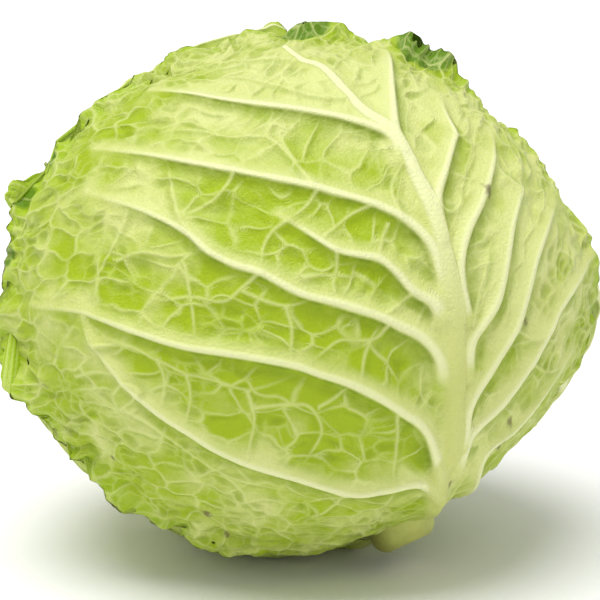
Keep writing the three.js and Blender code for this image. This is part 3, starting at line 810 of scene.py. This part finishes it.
def blade(leaf, u, v, sizes):
    """Places of a leaf's outer side for a square of grid points, with what its material reads."""
    share, angle = square_to_round(u, v)
    reach = read_round(leaf.reach, angle)
    soft_base = smooth(*CALM_BASE, degrees_apart(angle, 270))
    reach = reach + soft_base * tooth(leaf, angle) * np.clip(read_round(leaf.dark, angle) / 4, 0.3, 1)
    far = share * reach
    x, y = far * np.cos(angle), far * np.sin(angle)
    to_margin = reach - far
    d = leaf.direction(x, y)
    over = [other.cover(d) for other in leaf.outer]
    free = 1 - np.max(over, axis=0) if over else np.ones(x.shape)
    depth = LAYER * np.sum(over, axis=0) if over else np.zeros(x.shape)
    height, rib_distance, reads = relief(leaf, x, y, to_margin, sizes)

    lift = free * frill_lift(leaf, angle) * np.maximum(0, 1 - to_margin / FRILL_DEPTH)**2
    broad = RUFFLE * noise(x, y, RUFFLE_SIZE, leaf.seed + 23)
    small = CRIMP * noise(x, y, CRIMP_SIZE, leaf.seed + 24)
    ruffle = broad * np.maximum(0, 1 - to_margin / RUFFLE_REACH)
    ruffle += small * np.maximum(0, 1 - to_margin / CRIMP_REACH)
    ruffle *= np.clip(read_round(leaf.dark, angle) / 5, 0, 1.2) * soft_base
    wide = sizes.curl_band / MM
    wave = np.clip(0.6 + 0.7 * rim_noise(angle, 20, leaf.seed + 25), 0, 1.2)
    bend = np.maximum(np.radians(read_round(leaf.curl, angle)) * wave * free, 1e-3) / wide
    run = np.maximum(wide - to_margin, 0)
    stand = CURL_STAND * (1 - np.cos(bend * run)) / bend
    back = np.sin(bend * run) / bend - run
    ripple = free * (np.maximum(ruffle, -0.5) + np.maximum(height, 0))
    turned = bend * run
    rolled = 1 + (back - FRILL_ROLL * lift - np.sin(turned) * ripple) / np.maximum(far, 1)

    radius = np.minimum(head_radius(d) + np.minimum(height, 0), floor_radius(d)) - depth
    raised = np.maximum(free * stand + lift + np.cos(turned) * ripple, 0)
    toward = leaf.direction(x * rolled, y * rolled)
    room = np.maximum(box_radius(toward) - radius, 0.1)
    radius += raised / (1 + (raised / room)**4)**0.25
    place = toward * radius[:, None] + CENTRE
    place[:, 2] = np.maximum(place[:, 2], 0)
    uneven = 1 + 0.5 * rim_noise(angle, 7, leaf.seed + 27)
    dark = np.maximum(read_round(leaf.dark, angle) * uneven, 0.1)
    edge = np.exp(-(to_margin / dark)**2) * soft_base
    reads.update(edge=edge, rib_distance=rib_distance, leaf_x=x, leaf_y=y)
    return place, reads


def underside(leaf, u, v):
    """Places of the smooth inner side of a leaf, away from its margin."""
    share, angle = square_to_round(u, v)
    far = share * read_round(leaf.reach, angle)
    d = leaf.direction(far * np.cos(angle), far * np.sin(angle))
    depth = LAYER * sum(other.cover(d) for other in leaf.outer)
    top = head_radius(d) - UNDERSIDE_DEPTH
    radius = np.minimum(top, floor_radius(d) - UNDERSIDE_OVER_FLOOR) - depth
    return d * radius[:, None] + CENTRE


def green_field(leaf, x, y, patches):
    """How green the blade is: 1 is full, 0 is pale, below 0 nearly white, and above 1 dark, which only
    patches of a strength above 1 give."""
    green = 0.64 + 0.25 * noise(x, y, 30, leaf.seed + 41) + 0.3 * noise(x, y, 11, leaf.seed + 42)
    dark = np.zeros(x.shape)
    for (px, py), size, strength in patches:
        patch = strength * np.exp(-((x - px)**2 + (y - py)**2) / size**2)
        if strength > 1:
            dark = np.maximum(dark, patch)
        else:
            green += patch
    return np.maximum(np.clip(green, -0.6, 1), np.minimum(dark, 1.5))


LEAF_LAYERS = (
    "midrib_side", "midrib_near", "rib_side", "rib_near", "rib_wide", "twig_side", "twig_near",
    "twig_wide", "net_side", "net_near", "net_wide", "mesh_side", "mesh_near", "pit", "crease", "tone",
    "edge", "green", "scar", "leaf_x", "leaf_y",
)


def flat_places(verts):
    return np.array([vert.co.x for vert in verts]), np.array([vert.co.y for vert in verts])


def write_points(verts, places):
    for vert, place in zip(verts, (places * MM).tolist()):
        vert.co = place


def new_bmesh(*names):
    """An empty bmesh with a number on each vertex for each name, which the materials read."""
    bm = bmesh.new()
    for name in names:
        bm.verts.layers.float.new(name)
    return bm


def write_layer(bm, name, verts, values):
    layer = bm.verts.layers.float[name]
    for vert, value in zip(verts, values.tolist()):
        vert[layer] = value


def finish_piece(bm, name, material, slot, *nodes):
    """Turns a bmesh into a smooth object that rides on the head and stands for its CAD nodes."""
    bmesh.ops.recalc_face_normals(bm, faces=bm.faces)
    mesh = bpy.data.meshes.new(name)
    bm.to_mesh(mesh)
    bm.free()
    mesh.shade_smooth()
    mesh.materials.append(material)
    piece = bpy.data.objects.new(name, mesh)
    bpy.context.scene.collection.objects.link(piece)
    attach(piece, "root")
    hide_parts(*nodes)
    return piece


def leaf_bmesh(leaf, count, sizes, patches=(), scars=()):
    """A leaf's closed blade, with what its material reads on each vertex."""
    count -= count % 8
    bm = new_bmesh(*LEAF_LAYERS)
    bmesh.ops.create_grid(bm, x_segments=count, y_segments=count, size=1)
    outer = bm.verts[:]
    u, v = flat_places(outer)
    place, reads = blade(leaf, u, v, sizes)
    write_points(outer, place)
    x, y = reads["leaf_x"], reads["leaf_y"]
    rib_distance = reads.pop("rib_distance")
    # Near a rib the blade stays full green below it and turns paler above it: partly the leaf's own
    # colour, partly painted shade under the rib and painted light just above it
    below_rib = smooth(0, 1.5, reads["rib_side"])
    by_rib = mix(smooth(-6, 9, rib_distance), smooth(-12, 2, rib_distance), below_rib)
    green = green_field(leaf, x, y, patches)
    reads["green"] = np.where(green > 0, green * by_rib, green)
    scar = np.zeros(x.shape)
    for (px, py), size in scars:
        away = np.hypot(x - px, (y - py) * 0.6) * (1 + 0.5 * noise(x, y, 1.5, 77))
        scar = np.maximum(scar, 1 - smooth(0.35 * size, size, away))
    reads["scar"] = scar
    for name in LEAF_LAYERS:
        write_layer(bm, name, outer, reads[name])

    add_inner_side(bm, leaf, outer, place, np.maximum(np.abs(u), np.abs(v)), count, sizes)
    return bm


def add_inner_side(bm, leaf, outer, place, ring, count, sizes):
    """Closes a blade: a fine inner side near its margin, and a coarse one in the middle."""
    bm.normal_update()
    copy = bmesh.ops.duplicate(bm, geom=bm.faces[:])
    inner = [part for part in copy["geom"] if isinstance(part, bmesh.types.BMVert)]
    hole = round(sizes.thin_margin * count / 2) * 2 / count
    thick = sizes.blade / MM * (0.55 + 0.45 * (1 - ring))
    normal = np.array([vert.normal for vert in outer])
    facing = np.sign(np.sum(normal * (place - CENTRE), axis=1).sum())
    under = place - facing * normal * thick[:, None]
    under[:, 2] = np.maximum(under[:, 2], 0.5)
    write_points(inner, under)
    is_hidden = ring < hole - 0.5 / count
    hidden = {vert for vert, gone in zip(inner, is_hidden.tolist()) if gone}
    bmesh.ops.delete(bm, geom=list(hidden), context="VERTS")

    coarse = count // 8
    made = bmesh.ops.create_grid(bm, x_segments=coarse, y_segments=coarse, size=hole)["verts"]
    write_points(made, underside(leaf, *flat_places(made)))

    made_set = set(made)
    loose = [edge for edge in bm.edges if edge.is_boundary]
    ring_of = {vert: share for vert, share in zip(inner, ring.tolist()) if vert.is_valid}
    rim_outer, rim_coarse, rim_inner, rim_hole = [], [], [], []
    for edge in loose:
        vert = edge.verts[0]
        if vert in made_set:
            rim_coarse.append(edge)
        elif vert not in ring_of:
            rim_outer.append(edge)
        elif ring_of[vert] > 1 - 0.5 / count:
            rim_inner.append(edge)
        else:
            rim_hole.append(edge)
    bmesh.ops.bridge_loops(bm, edges=rim_outer + rim_inner)
    bmesh.ops.bridge_loops(bm, edges=rim_hole + rim_coarse)


# Materials

def linear(colour):
    """Linear colour from the sRGB values 0 to 255."""
    parts = [part / 255 for part in colour]
    return [part / 12.92 if part <= 0.04045 else ((part + 0.055) / 1.055)**2.4 for part in parts] + [1]


class Nodes:
    """Short calls to build a material's node tree."""

    def __init__(self, name):
        self.material = bpy.data.materials.new(name)
        self.material.use_nodes = True
        self.tree = self.material.node_tree
        self.shader = self.tree.nodes["Principled BSDF"]

    def put(self, target, value):
        if isinstance(value, bpy.types.NodeSocket):
            self.tree.links.new(value, target)
        else:
            target.default_value = value

    def add(self, kind, outlet=0, inputs=(), **settings):
        node = self.tree.nodes.new(kind)
        for key, value in settings.items():
            setattr(node, key, value)
        for key, value in dict(inputs).items():
            self.put(node.inputs[key], value)
        return node.outputs[outlet]

    def read(self, name):
        return self.add("ShaderNodeAttribute", "Fac", attribute_name=name)

    def maths(self, operation, first, *others, clamp=False):
        """One number from several, taken two at a time."""
        for other in others:
            pair = {0: first, 1: other}
            first = self.add("ShaderNodeMath", 0, pair, operation=operation, use_clamp=clamp)
        return first

    def times(self, *values):
        return self.maths("MULTIPLY", *values)

    def most(self, *values):
        return self.maths("MAXIMUM", *values)

    def ramp(self, value, low, high, to_low=0.0, to_high=1.0):
        return self.add("ShaderNodeMapRange", 0, {0: value, 1: low, 2: high, 3: to_low, 4: to_high})

    def window(self, value, rise, full, hold, fall):
        """0 up to rise, 1 from full to hold, and 0 from fall on."""
        return self.times(self.ramp(value, rise, full), self.ramp(value, hold, fall, 1.0, 0.0))

    def mottle(self, vector, scale, detail):
        inputs = {"Vector": vector, "Scale": scale, "Detail": detail, "Roughness": 0.6}
        return self.add("ShaderNodeTexNoise", 0, inputs)

    def blend(self, factor, a, b):
        return self.add("ShaderNodeMix", "Result", {"Factor": factor, "A": a, "B": b}, data_type="RGBA")

    def paint(self, base, colour, factor):
        """A colour, as sRGB values, laid over base where factor is 1."""
        return self.blend(factor, base, linear(colour))

    def flesh(self, weight, radius, scale):
        """Lets light a little way into the skin."""
        self.shader.inputs["Subsurface Weight"].default_value = weight
        self.shader.inputs["Subsurface Radius"].default_value = radius
        self.shader.inputs["Subsurface Scale"].default_value = scale

    def bump(self, height, strength, distance):
        inputs = {"Strength": strength, "Distance": distance, "Height": height}
        self.put(self.shader.inputs["Normal"], self.add("ShaderNodeBump", 0, inputs))


def leaf_material(name, **changed):
    """Waxy leaf: cream veins, yellow green cells with painted shade in their hollows, and a darker
    margin.
    """
    n = Nodes(name)
    colours = {**colour_values(), **changed}
    read = {layer: n.read(layer) for layer in LEAF_LAYERS}
    across = n.add("ShaderNodeCombineXYZ", 0, {0: read["leaf_x"], 1: read["leaf_y"]})
    cloud = n.mottle(across, 0.11, 5.0)
    grain = n.mottle(across, 0.9, 4.0)
    ticks = n.add("ShaderNodeTexVoronoi", "Distance",
                  {"Vector": across, "Scale": 0.62, "Randomness": 0.95}, feature="DISTANCE_TO_EDGE")

    green = n.maths("ADD", read["green"], n.ramp(cloud, 0.35, 0.65, -0.16, 0.16))
    green = n.maths("ADD", green, n.ramp(read["tone"], 0.0, 1.0, -0.25, 0.25), clamp=True)
    base = n.blend(n.ramp(green, 0.1, 0.9), linear(colours["pale"]), linear(colours["full"]))
    base = n.paint(base, colours["lightest"], n.ramp(read["green"], -0.5, 0.1, 0.85, 0.0))
    base = n.paint(base, colours["deep"], n.ramp(grain, 0.35, 0.7, 0.0, 0.14))

    # Painted shade in deep green: below the ribs, twigs and net, in the pitted cells and along the fold
    # creases
    low = [n.times(n.window(read[kind + "_side"], *stops), read[kind + "_wide"], strength)
           for kind, (stops, strength) in SHADES.items()]
    shade = n.times(n.most(*low), n.ramp(cloud, 0.3, 0.6, 0.45, 1.0))
    shade = n.most(shade, n.times(read["pit"], 0.7), n.times(read["crease"], 0.95))
    base = n.paint(base, colours["deep"], n.times(shade, 0.8))

    # Pale band over each rib and up its upper flank: partly the rib's paler tissue, partly painted
    # light on the flank that faces up
    between = mix(np.array(colours["pale"]), np.array(colours["vein"]), 0.5)
    rib_side, rib_wide = read["rib_side"], read["rib_wide"]
    base = n.paint(base, between, n.times(n.window(rib_side, -4.0, -0.8, 0.8, 1.4), rib_wide, 0.45))
    base = n.paint(base, colours["margin"], n.times(read["edge"], n.ramp(grain, 0.25, 0.6, 0.6, 1.0)))
    base = n.paint(base, colours["frill"], n.ramp(read["green"], 1.05, 1.5, 0.0, 0.9))
    # Painted shadow: a thin dark line just below each rib
    shadow_line_below = n.times(n.window(rib_side, 0.85, 1.15, 1.35, 2.0), rib_wide)
    base = n.paint(base, colours["crease"], n.times(shadow_line_below, n.ramp(cloud, 0.4, 0.6, 0.15, 0.75)))

    core = {kind: n.times(n.window(read[kind + "_side"], *stops), read[kind + "_near"])
            for kind, stops in LINES.items()}
    line = n.most(n.times(core["net"], 0.75), n.times(core["mesh"], 0.35), core["twig"])
    base = n.paint(base, colours["twig"], n.times(line, 0.8))
    base = n.paint(base, colours["vein"], n.times(core["rib"], 0.95))
    band = n.window(read["midrib_side"], *LINES["midrib"])
    band = n.times(band, n.ramp(read["midrib_near"], 0.0, 0.4))
    base = n.paint(base, colours["midrib"], n.times(band, 0.8))
    bright = n.times(core["midrib"], n.ramp(read["midrib_near"], 0.5, 1.0))
    base = n.paint(base, colours["vein"], n.times(bright, 0.95))
    line = n.most(n.times(line, 0.8), core["rib"], core["midrib"])
    base = n.paint(base, colours["scar"], n.times(read["scar"], 0.8))
    n.put(n.shader.inputs["Base Color"], base)
    n.put(n.shader.inputs["Roughness"], n.ramp(grain, 0.3, 0.7, 0.46, 0.6))
    n.shader.inputs["Specular IOR Level"].default_value = 0.3
    n.flesh(0.12, (0.9, 1.0, 0.25), 0.0015)
    ticked = n.times(n.ramp(ticks, 0.0, 0.25), -0.3)
    n.bump(n.maths("ADD", line, n.times(shade, -0.7), ticked, n.times(grain, 0.4)), 0.6, 0.0006)
    return n.material


def stem_material():
    n = Nodes("stem_skin")
    colours = colour_values()
    spot = n.add("ShaderNodeTexCoord", "Object")
    cloud = n.mottle(spot, 90.0, 6.0)
    grain = n.mottle(spot, 700.0, 4.0)
    base = n.blend(n.ramp(cloud, 0.35, 0.65), linear(colours["stem"]), linear(colours["stem_dark"]))
    # Cut end, ring, painted shade on the lower left side, and scars
    for layer, colour, strength in (("cut", "cut", 1.0), ("ring", "stem_dark", 0.5),
                                    ("under", "stem_painted_shade", 0.8), ("scar", "scar", 0.75)):
        base = n.paint(base, colours[colour], n.times(n.read(layer), strength))
    n.put(n.shader.inputs["Base Color"], base)
    n.shader.inputs["Roughness"].default_value = 0.55
    n.flesh(0.15, (0.9, 1.0, 0.4), 0.002)
    n.bump(n.maths("ADD", n.times(cloud, 1.2), n.times(grain, 0.6)), 0.4, 0.0004)
    return n.material


# Values that a user would change

class CabbageSizes(bpy.types.PropertyGroup):
    """Fineness and relief of the leaves."""

    front_count: IntProperty(
        name="Front grid", description="Squares across the front leaf", default=280)
    wrapper_count: IntProperty(
        name="Wrapper grid", description="Squares across a wrapper leaf", default=216)
    crown_count: IntProperty(
        name="Crown grid", description="Squares across a crown leaf", default=176)
    blade: FloatProperty(
        name="Blade", description="Thickness of a blade; at its margin it is about half of this",
        default=0.0008, unit="LENGTH")
    curl_band: FloatProperty(
        name="Curl band", description="Width of the margin that curls back", default=0.009,
        unit="LENGTH")
    thin_margin: FloatProperty(
        name="Thin margin", description="Share of the leaf inside its thin margin", default=0.92,
        subtype="FACTOR")
    relief: FloatProperty(
        name="Relief", description="Strength of the small puckers", default=1.0, subtype="FACTOR")


class CabbageColours(bpy.types.PropertyGroup):
    """Colours of the leaves and the stem, as sRGB values from 0 to 255."""

    vein: FloatVectorProperty(
        name="Vein", description="Colour of the veins", default=(230, 233, 178))
    midrib: FloatVectorProperty(
        name="Midrib", description="Thick part of the midrib", default=(200, 206, 120))
    twig: FloatVectorProperty(
        name="Twig", description="Colour of the small veins", default=(214, 221, 142))
    pale: FloatVectorProperty(
        name="Pale", description="Blade where it is palest", default=(210, 216, 134))
    lightest: FloatVectorProperty(
        name="Lightest", description="Crown of the front leaf", default=(228, 238, 172))
    full: FloatVectorProperty(
        name="Full", description="Blade where it is greenest", default=(160, 183, 12))
    # Deep green: the blade's own darker mottling, and painted shade in hollows, creases and below the
    # veins
    deep: FloatVectorProperty(
        name="Deep", description="Colour of hollows and creases", default=(128, 152, 0))
    # Painted shadow line just below each rib
    crease: FloatVectorProperty(
        name="Crease", description="Line below a rib", default=(112, 134, 8))
    margin: FloatVectorProperty(
        name="Margin", description="Colour of the margin", default=(156, 186, 12))
    frill: FloatVectorProperty(
        name="Dark frill", description="Darkest frills", default=(86, 126, 0))
    stem: FloatVectorProperty(
        name="Stem", description="Colour of the stem", default=(200, 206, 112))
    stem_dark: FloatVectorProperty(
        name="Stem shade", description="Darker parts of the stem", default=(176, 178, 92))
    # Painted shade on the lower left side of the stem
    stem_painted_shade: FloatVectorProperty(
        name="Stem underside", description="Lower left side of the stem", default=(112, 108, 40))
    cut: FloatVectorProperty(
        name="Cut", description="Colour of the cut end", default=(214, 210, 160))
    scar: FloatVectorProperty(
        name="Scar", description="Colour of small marks", default=(104, 92, 52))


def colour_values():
    colours = bpy.context.scene.cabbage_colours
    return {name: tuple(getattr(colours, name)) for name in CabbageColours.__annotations__}


# The leaves, outermost first

FRONT = Leaf(85, 12, FRONT_OUTLINE, FRONT_FRILL, FRONT_CURL, FRONT_DARK, 19, 3, [], FRONT_FLAPS)
BACK = Leaf(82, 234, WRAPPER_OUTLINE, WRAPPER_FRILL, WRAPPER_CURL, WRAPPER_DARK, 14, 5, [FRONT])
RIGHT = Leaf(82, 100, WRAPPER_OUTLINE, WRAPPER_FRILL, WRAPPER_CURL, WRAPPER_DARK, 14, 8, [FRONT, BACK])
CROWN_LEFT = Leaf(
    128, 319, CROWN_OUTLINE, CROWN_FRILL, CROWN_CURL, WRAPPER_DARK, 10, 11, [FRONT, BACK, RIGHT])
CROWN_BACK = Leaf(
    124, 182, CROWN_OUTLINE, CROWN_FRILL, CROWN_CURL, WRAPPER_DARK, 9, 14,
    [FRONT, BACK, RIGHT, CROWN_LEFT])
LEAVES = [FRONT, BACK, RIGHT, CROWN_LEFT, CROWN_BACK]


def give_veins():
    FRONT.veins = front_veins(FRONT)
    BACK.veins = ruled_veins(-118, 96, -9, 5)
    RIGHT.veins = ruled_veins(-118, 96, 8, 8)
    CROWN_LEFT.veins = ruled_veins(-180, 94, 6, 11)
    CROWN_BACK.veins = ruled_veins(-174, 94, -5, 14)
    for leaf in LEAVES[1:]:
        ribs = [vein for vein in leaf.veins if vein.level == 1]
        leaf.veins += branch_veins(ribs, BRANCH_SPACING, leaf.seed)


def leaf_marks(leaf, marks):
    """Marks given in pixels, in leaf millimetres."""
    x, y = leaf.place(on_head([mark[0] for mark in marks]))
    per_pixel = VIEW_WIDTH / IMAGE_SIDE
    return [((px, py), mark[1] * per_pixel, *mark[2:]) for px, py, mark in zip(x, y, marks)]


def build_leaves(leaves, count, sizes, skin, slot):
    """Builds leaves of one skin, given with the names of their pieces."""
    material = leaf_material(skin)
    for leaf, name in leaves:
        bm = leaf_bmesh(leaf, count, sizes)
        finish_piece(bm, f"{name}_leaf", material, slot, f"leaf_{name}")


class CABBAGE_OT_front_leaf(bpy.types.Operator):
    """Build the outermost wrapper leaf, which faces the camera"""

    bl_idname = "cabbage.front_leaf"
    bl_label = "Front leaf"

    def execute(self, context):
        sizes = context.scene.cabbage_sizes
        greens = leaf_marks(FRONT, GREEN_PLACES) + DARK_FRILLS
        bm = leaf_bmesh(FRONT, sizes.front_count, sizes, greens, leaf_marks(FRONT, SCARS))
        material = leaf_material("front_leaf_skin")
        finish_piece(bm, "front_leaf", material, "wrapper_leaf", "leaf_front")
        return {"FINISHED"}


class CABBAGE_OT_wrapper_leaves(bpy.types.Operator):
    """Build the two wrapper leaves behind the front leaf"""

    bl_idname = "cabbage.wrapper_leaves"
    bl_label = "Wrapper leaves"

    def execute(self, context):
        sizes = context.scene.cabbage_sizes
        leaves = ((BACK, "back"), (RIGHT, "right"))
        build_leaves(leaves, sizes.wrapper_count, sizes, "wrapper_leaf_skin", "wrapper_leaf")
        return {"FINISHED"}


class CABBAGE_OT_crown_leaves(bpy.types.Operator):
    """Build the two leaves that close over the crown"""

    bl_idname = "cabbage.crown_leaves"
    bl_label = "Crown leaves"

    def execute(self, context):
        sizes = context.scene.cabbage_sizes
        leaves = ((CROWN_LEFT, "crown_left"), (CROWN_BACK, "crown_back"))
        build_leaves(leaves, sizes.crown_count, sizes, "crown_leaf_skin", "inner_leaf")
        return {"FINISHED"}


class CABBAGE_OT_heart(bpy.types.Operator):
    """Build the tight inner leaves"""

    bl_idname = "cabbage.heart"
    bl_label = "Heart"

    def execute(self, context):
        bm = new_bmesh("net_side", "net_near", "leaf_x", "leaf_y")
        bmesh.ops.create_icosphere(bm, subdivisions=6, radius=1)
        verts = bm.verts[:]
        d = np.array([vert.co for vert in verts], float)
        d /= np.linalg.norm(d, axis=1)[:, None]
        depth = LAYER * sum(leaf.cover(d) for leaf in LEAVES)
        around = np.arctan2(d @ STEM_RIGHT, d @ STEM_FRONT)
        from_stem = turn_apart(d, STEM_AXIS)
        arc = MAP_RADIUS * (math.pi - from_stem)
        x, y = arc * np.sin(around), arc * np.cos(around)
        folds = HEART_FOLD * (1 + np.sin(3 * around + 6 * from_stem))
        across = net_distance(x, y, HEART_NET, 3)[0]
        half_width, high = HEART_VEIN
        radius = np.minimum(head_radius(d), floor_radius(d)) - depth - folds - HEART_GAP
        radius += high * band(across, half_width)
        seat_angle = math.atan2(STEM_RADIUS + HEART_SEAT, STEM_TOP_AT)
        seat = (STEM_TOP_AT - 0.5) / np.maximum(np.cos(from_stem), 0.3)
        radius = np.where(from_stem < seat_angle, np.minimum(radius, seat), radius)
        write_points(verts, d * radius[:, None] + CENTRE)
        near = 1 - smooth(2.5, 3.6, np.abs(across))
        layers = {"net_side": across / NET_HALF_WIDTH, "net_near": near, "leaf_x": x, "leaf_y": y}
        for name, values in layers.items():
            write_layer(bm, name, verts, values)
        material = leaf_material("heart_skin", pale=(224, 230, 170), full=(205, 216, 130))
        finish_piece(bm, "heart_leaves", material, "heart_leaf", "heart")
        return {"FINISHED"}


class CABBAGE_OT_stem(bpy.types.Operator):
    """Build the stem with its cut end"""

    bl_idname = "cabbage.stem"
    bl_label = "Stem"

    def execute(self, context):
        bm = new_bmesh("cut", "ring", "scar", "under")
        bmesh.ops.create_grid(bm, x_segments=128, y_segments=112, size=1)
        verts = bm.verts[:]
        u, v = flat_places(verts)
        v = v * 0.5 + 0.5
        around = math.pi * u
        corner = STEM_ROUNDING
        top, bend, end = STEM_STOPS
        stops = np.array([0, top, bend, end, 1])
        flat = STEM_RADIUS - corner
        out = np.interp(v, stops, [0, STEM_RADIUS - STEM_WAIST, STEM_RADIUS, flat, 0])
        along = np.interp(
            v, stops, [STEM_TOP_AT, STEM_TOP_AT, STEM_CUT_AT - corner, STEM_CUT_AT, STEM_CUT_AT])
        turn = smooth(bend, end, v) * math.pi / 2
        bent = (v > bend) & (v < end)
        out = np.where(bent, flat + corner * np.cos(turn), out)
        along = np.where(bent, STEM_CUT_AT - corner + corner * np.sin(turn), along)
        waist = STEM_RADIUS - STEM_WAIST * (1 - (v - top) / (bend - top))**2
        out = np.where((v > top) & (v < bend), waist, out)
        cut = smooth(0.68, 0.74, v)
        wave = 0.5 * np.sin(3 * around + along / 4) + 0.25 * np.sin(7 * around + 1) + 0.3 * noise(
            8 * np.cos(around), 8 * np.sin(around) + along, 5, 2)
        side = (v > top) * smooth(0, 0.5, out / STEM_RADIUS)
        out = out - side * (0.45 + 0.5 * wave) * (1 - cut)
        bulge = smooth(*PETIOLE_RISE, along) * (1 - 0.85 * smooth(*PETIOLE_FALL, along))
        out = out + PETIOLE * np.exp(-((around - PETIOLE_AT) / PETIOLE_SPREAD)**2) * bulge * side
        fx, fy = out * np.cos(around), out * np.sin(around)
        along = along - cut * (0.5 + 0.35 * noise(fx, fy, 4, 6) + 0.2 * noise(fx, fy, 1.3, 7))
        sideways = fx[:, None] * STEM_FRONT + fy[:, None] * STEM_RIGHT
        write_points(verts, along[:, None] * STEM_AXIS + sideways + CENTRE)
        # Painted shade on the lower left side of the stem, turned away from the light
        under = smooth(2, 11, -0.75 * sideways[:, 0] - 0.66 * sideways[:, 2])
        ring = cut * np.exp(-((out - 0.72 * flat) / 0.7)**2)
        from_scar = along - STEM_SCAR_AT - 1.5 * np.sin(5 * around)
        scar = np.exp(-((around - 1.1) / 0.16)**2 - (from_scar / 0.8)**2)
        scar = scar * (1 - cut) + 0.25 * smooth(0.75, 1, out / STEM_RADIUS) * cut
        for name, values in (("under", under), ("cut", cut), ("ring", ring), ("scar", scar)):
            write_layer(bm, name, verts, values)
        bmesh.ops.remove_doubles(bm, verts=bm.verts, dist=1e-6)
        bmesh.ops.dissolve_degenerate(bm, dist=1e-7, edges=bm.edges)
        finish_piece(bm, "cut_stem", stem_material(), "stem", "stem")
        return {"FINISHED"}


class CABBAGE_OT_stage(bpy.types.Operator):
    """Build the pale floor, the light and the camera"""

    bl_idname = "cabbage.stage"
    bl_label = "Stage"

    def execute(self, context):
        scene = context.scene
        bm = bmesh.new()
        bmesh.ops.create_grid(bm, x_segments=4, y_segments=4, size=FLOOR_HALF_WIDTH)
        mesh = bpy.data.meshes.new("floor")
        bm.to_mesh(mesh)
        bm.free()
        n = Nodes("floor_paint")
        n.shader.inputs["Base Color"].default_value = (0.9, 0.9, 0.9, 1)
        n.shader.inputs["Roughness"].default_value = 0.9
        mesh.materials.append(n.material)
        floor = bpy.data.objects.new("floor", mesh)
        scene.collection.objects.link(floor)

        world = bpy.data.worlds.new("studio")
        world.use_nodes = True
        sky = world.node_tree.nodes["Background"]
        sky.inputs["Color"].default_value = (1, 1, 1, 1)
        sky.inputs["Strength"].default_value = SKY_STRENGTH
        scene.world = world

        light = bpy.data.lights.new("overhead", "SUN")
        light.energy = SUN_STRENGTH
        light.angle = math.radians(SUN_SPREAD)
        overhead = bpy.data.objects.new("overhead", light)
        overhead.rotation_euler = (math.radians(SUN_TURN[0]), math.radians(SUN_TURN[1]), 0)
        scene.collection.objects.link(overhead)

        camera = bpy.data.cameras.new("camera")
        camera.sensor_width = SENSOR
        camera.lens = SENSOR * VIEW_DISTANCE / VIEW_WIDTH
        camera.clip_end = FAR_CLIP
        viewer = bpy.data.objects.new("camera", camera)
        viewer.location = Vector(EYE * MM)
        viewer.rotation_euler = (math.radians(90 - VIEW_TILT), 0, 0)
        scene.collection.objects.link(viewer)
        scene.camera = viewer
        scene.view_settings.view_transform = "Standard"
        return {"FINISHED"}


OPERATORS = [
    CABBAGE_OT_stage, CABBAGE_OT_front_leaf, CABBAGE_OT_wrapper_leaves, CABBAGE_OT_crown_leaves,
    CABBAGE_OT_heart, CABBAGE_OT_stem,
]


class CABBAGE_PT_panel(bpy.types.Panel):
    """Lists the pieces of the cabbage"""

    bl_idname = "CABBAGE_PT_panel"
    bl_label = "Savoy cabbage"
    bl_space_type = "VIEW_3D"
    bl_region_type = "UI"
    bl_category = "Cabbage"

    def draw(self, context):
        for operator in OPERATORS:
            self.layout.operator(operator.bl_idname)
        for group in (context.scene.cabbage_sizes, context.scene.cabbage_colours):
            for name in group.__annotations__:
                self.layout.prop(group, name)


CLASSES = [CabbageSizes, CabbageColours, *OPERATORS, CABBAGE_PT_panel]


def register():
    for kind in CLASSES:
        bpy.utils.register_class(kind)
    bpy.types.Scene.cabbage_sizes = PointerProperty(type=CabbageSizes)
    bpy.types.Scene.cabbage_colours = PointerProperty(type=CabbageColours)


def unregister():
    del bpy.types.Scene.cabbage_colours
    del bpy.types.Scene.cabbage_sizes
    for kind in reversed(CLASSES):
        bpy.utils.unregister_class(kind)


def main():
    register()
    give_veins()
    bpy.ops.cabbage.stage()
    bpy.ops.cabbage.front_leaf()
    bpy.ops.cabbage.wrapper_leaves()
    bpy.ops.cabbage.crown_leaves()
    bpy.ops.cabbage.heart()
    bpy.ops.cabbage.stem()


if __name__ == "__main__":
    main()
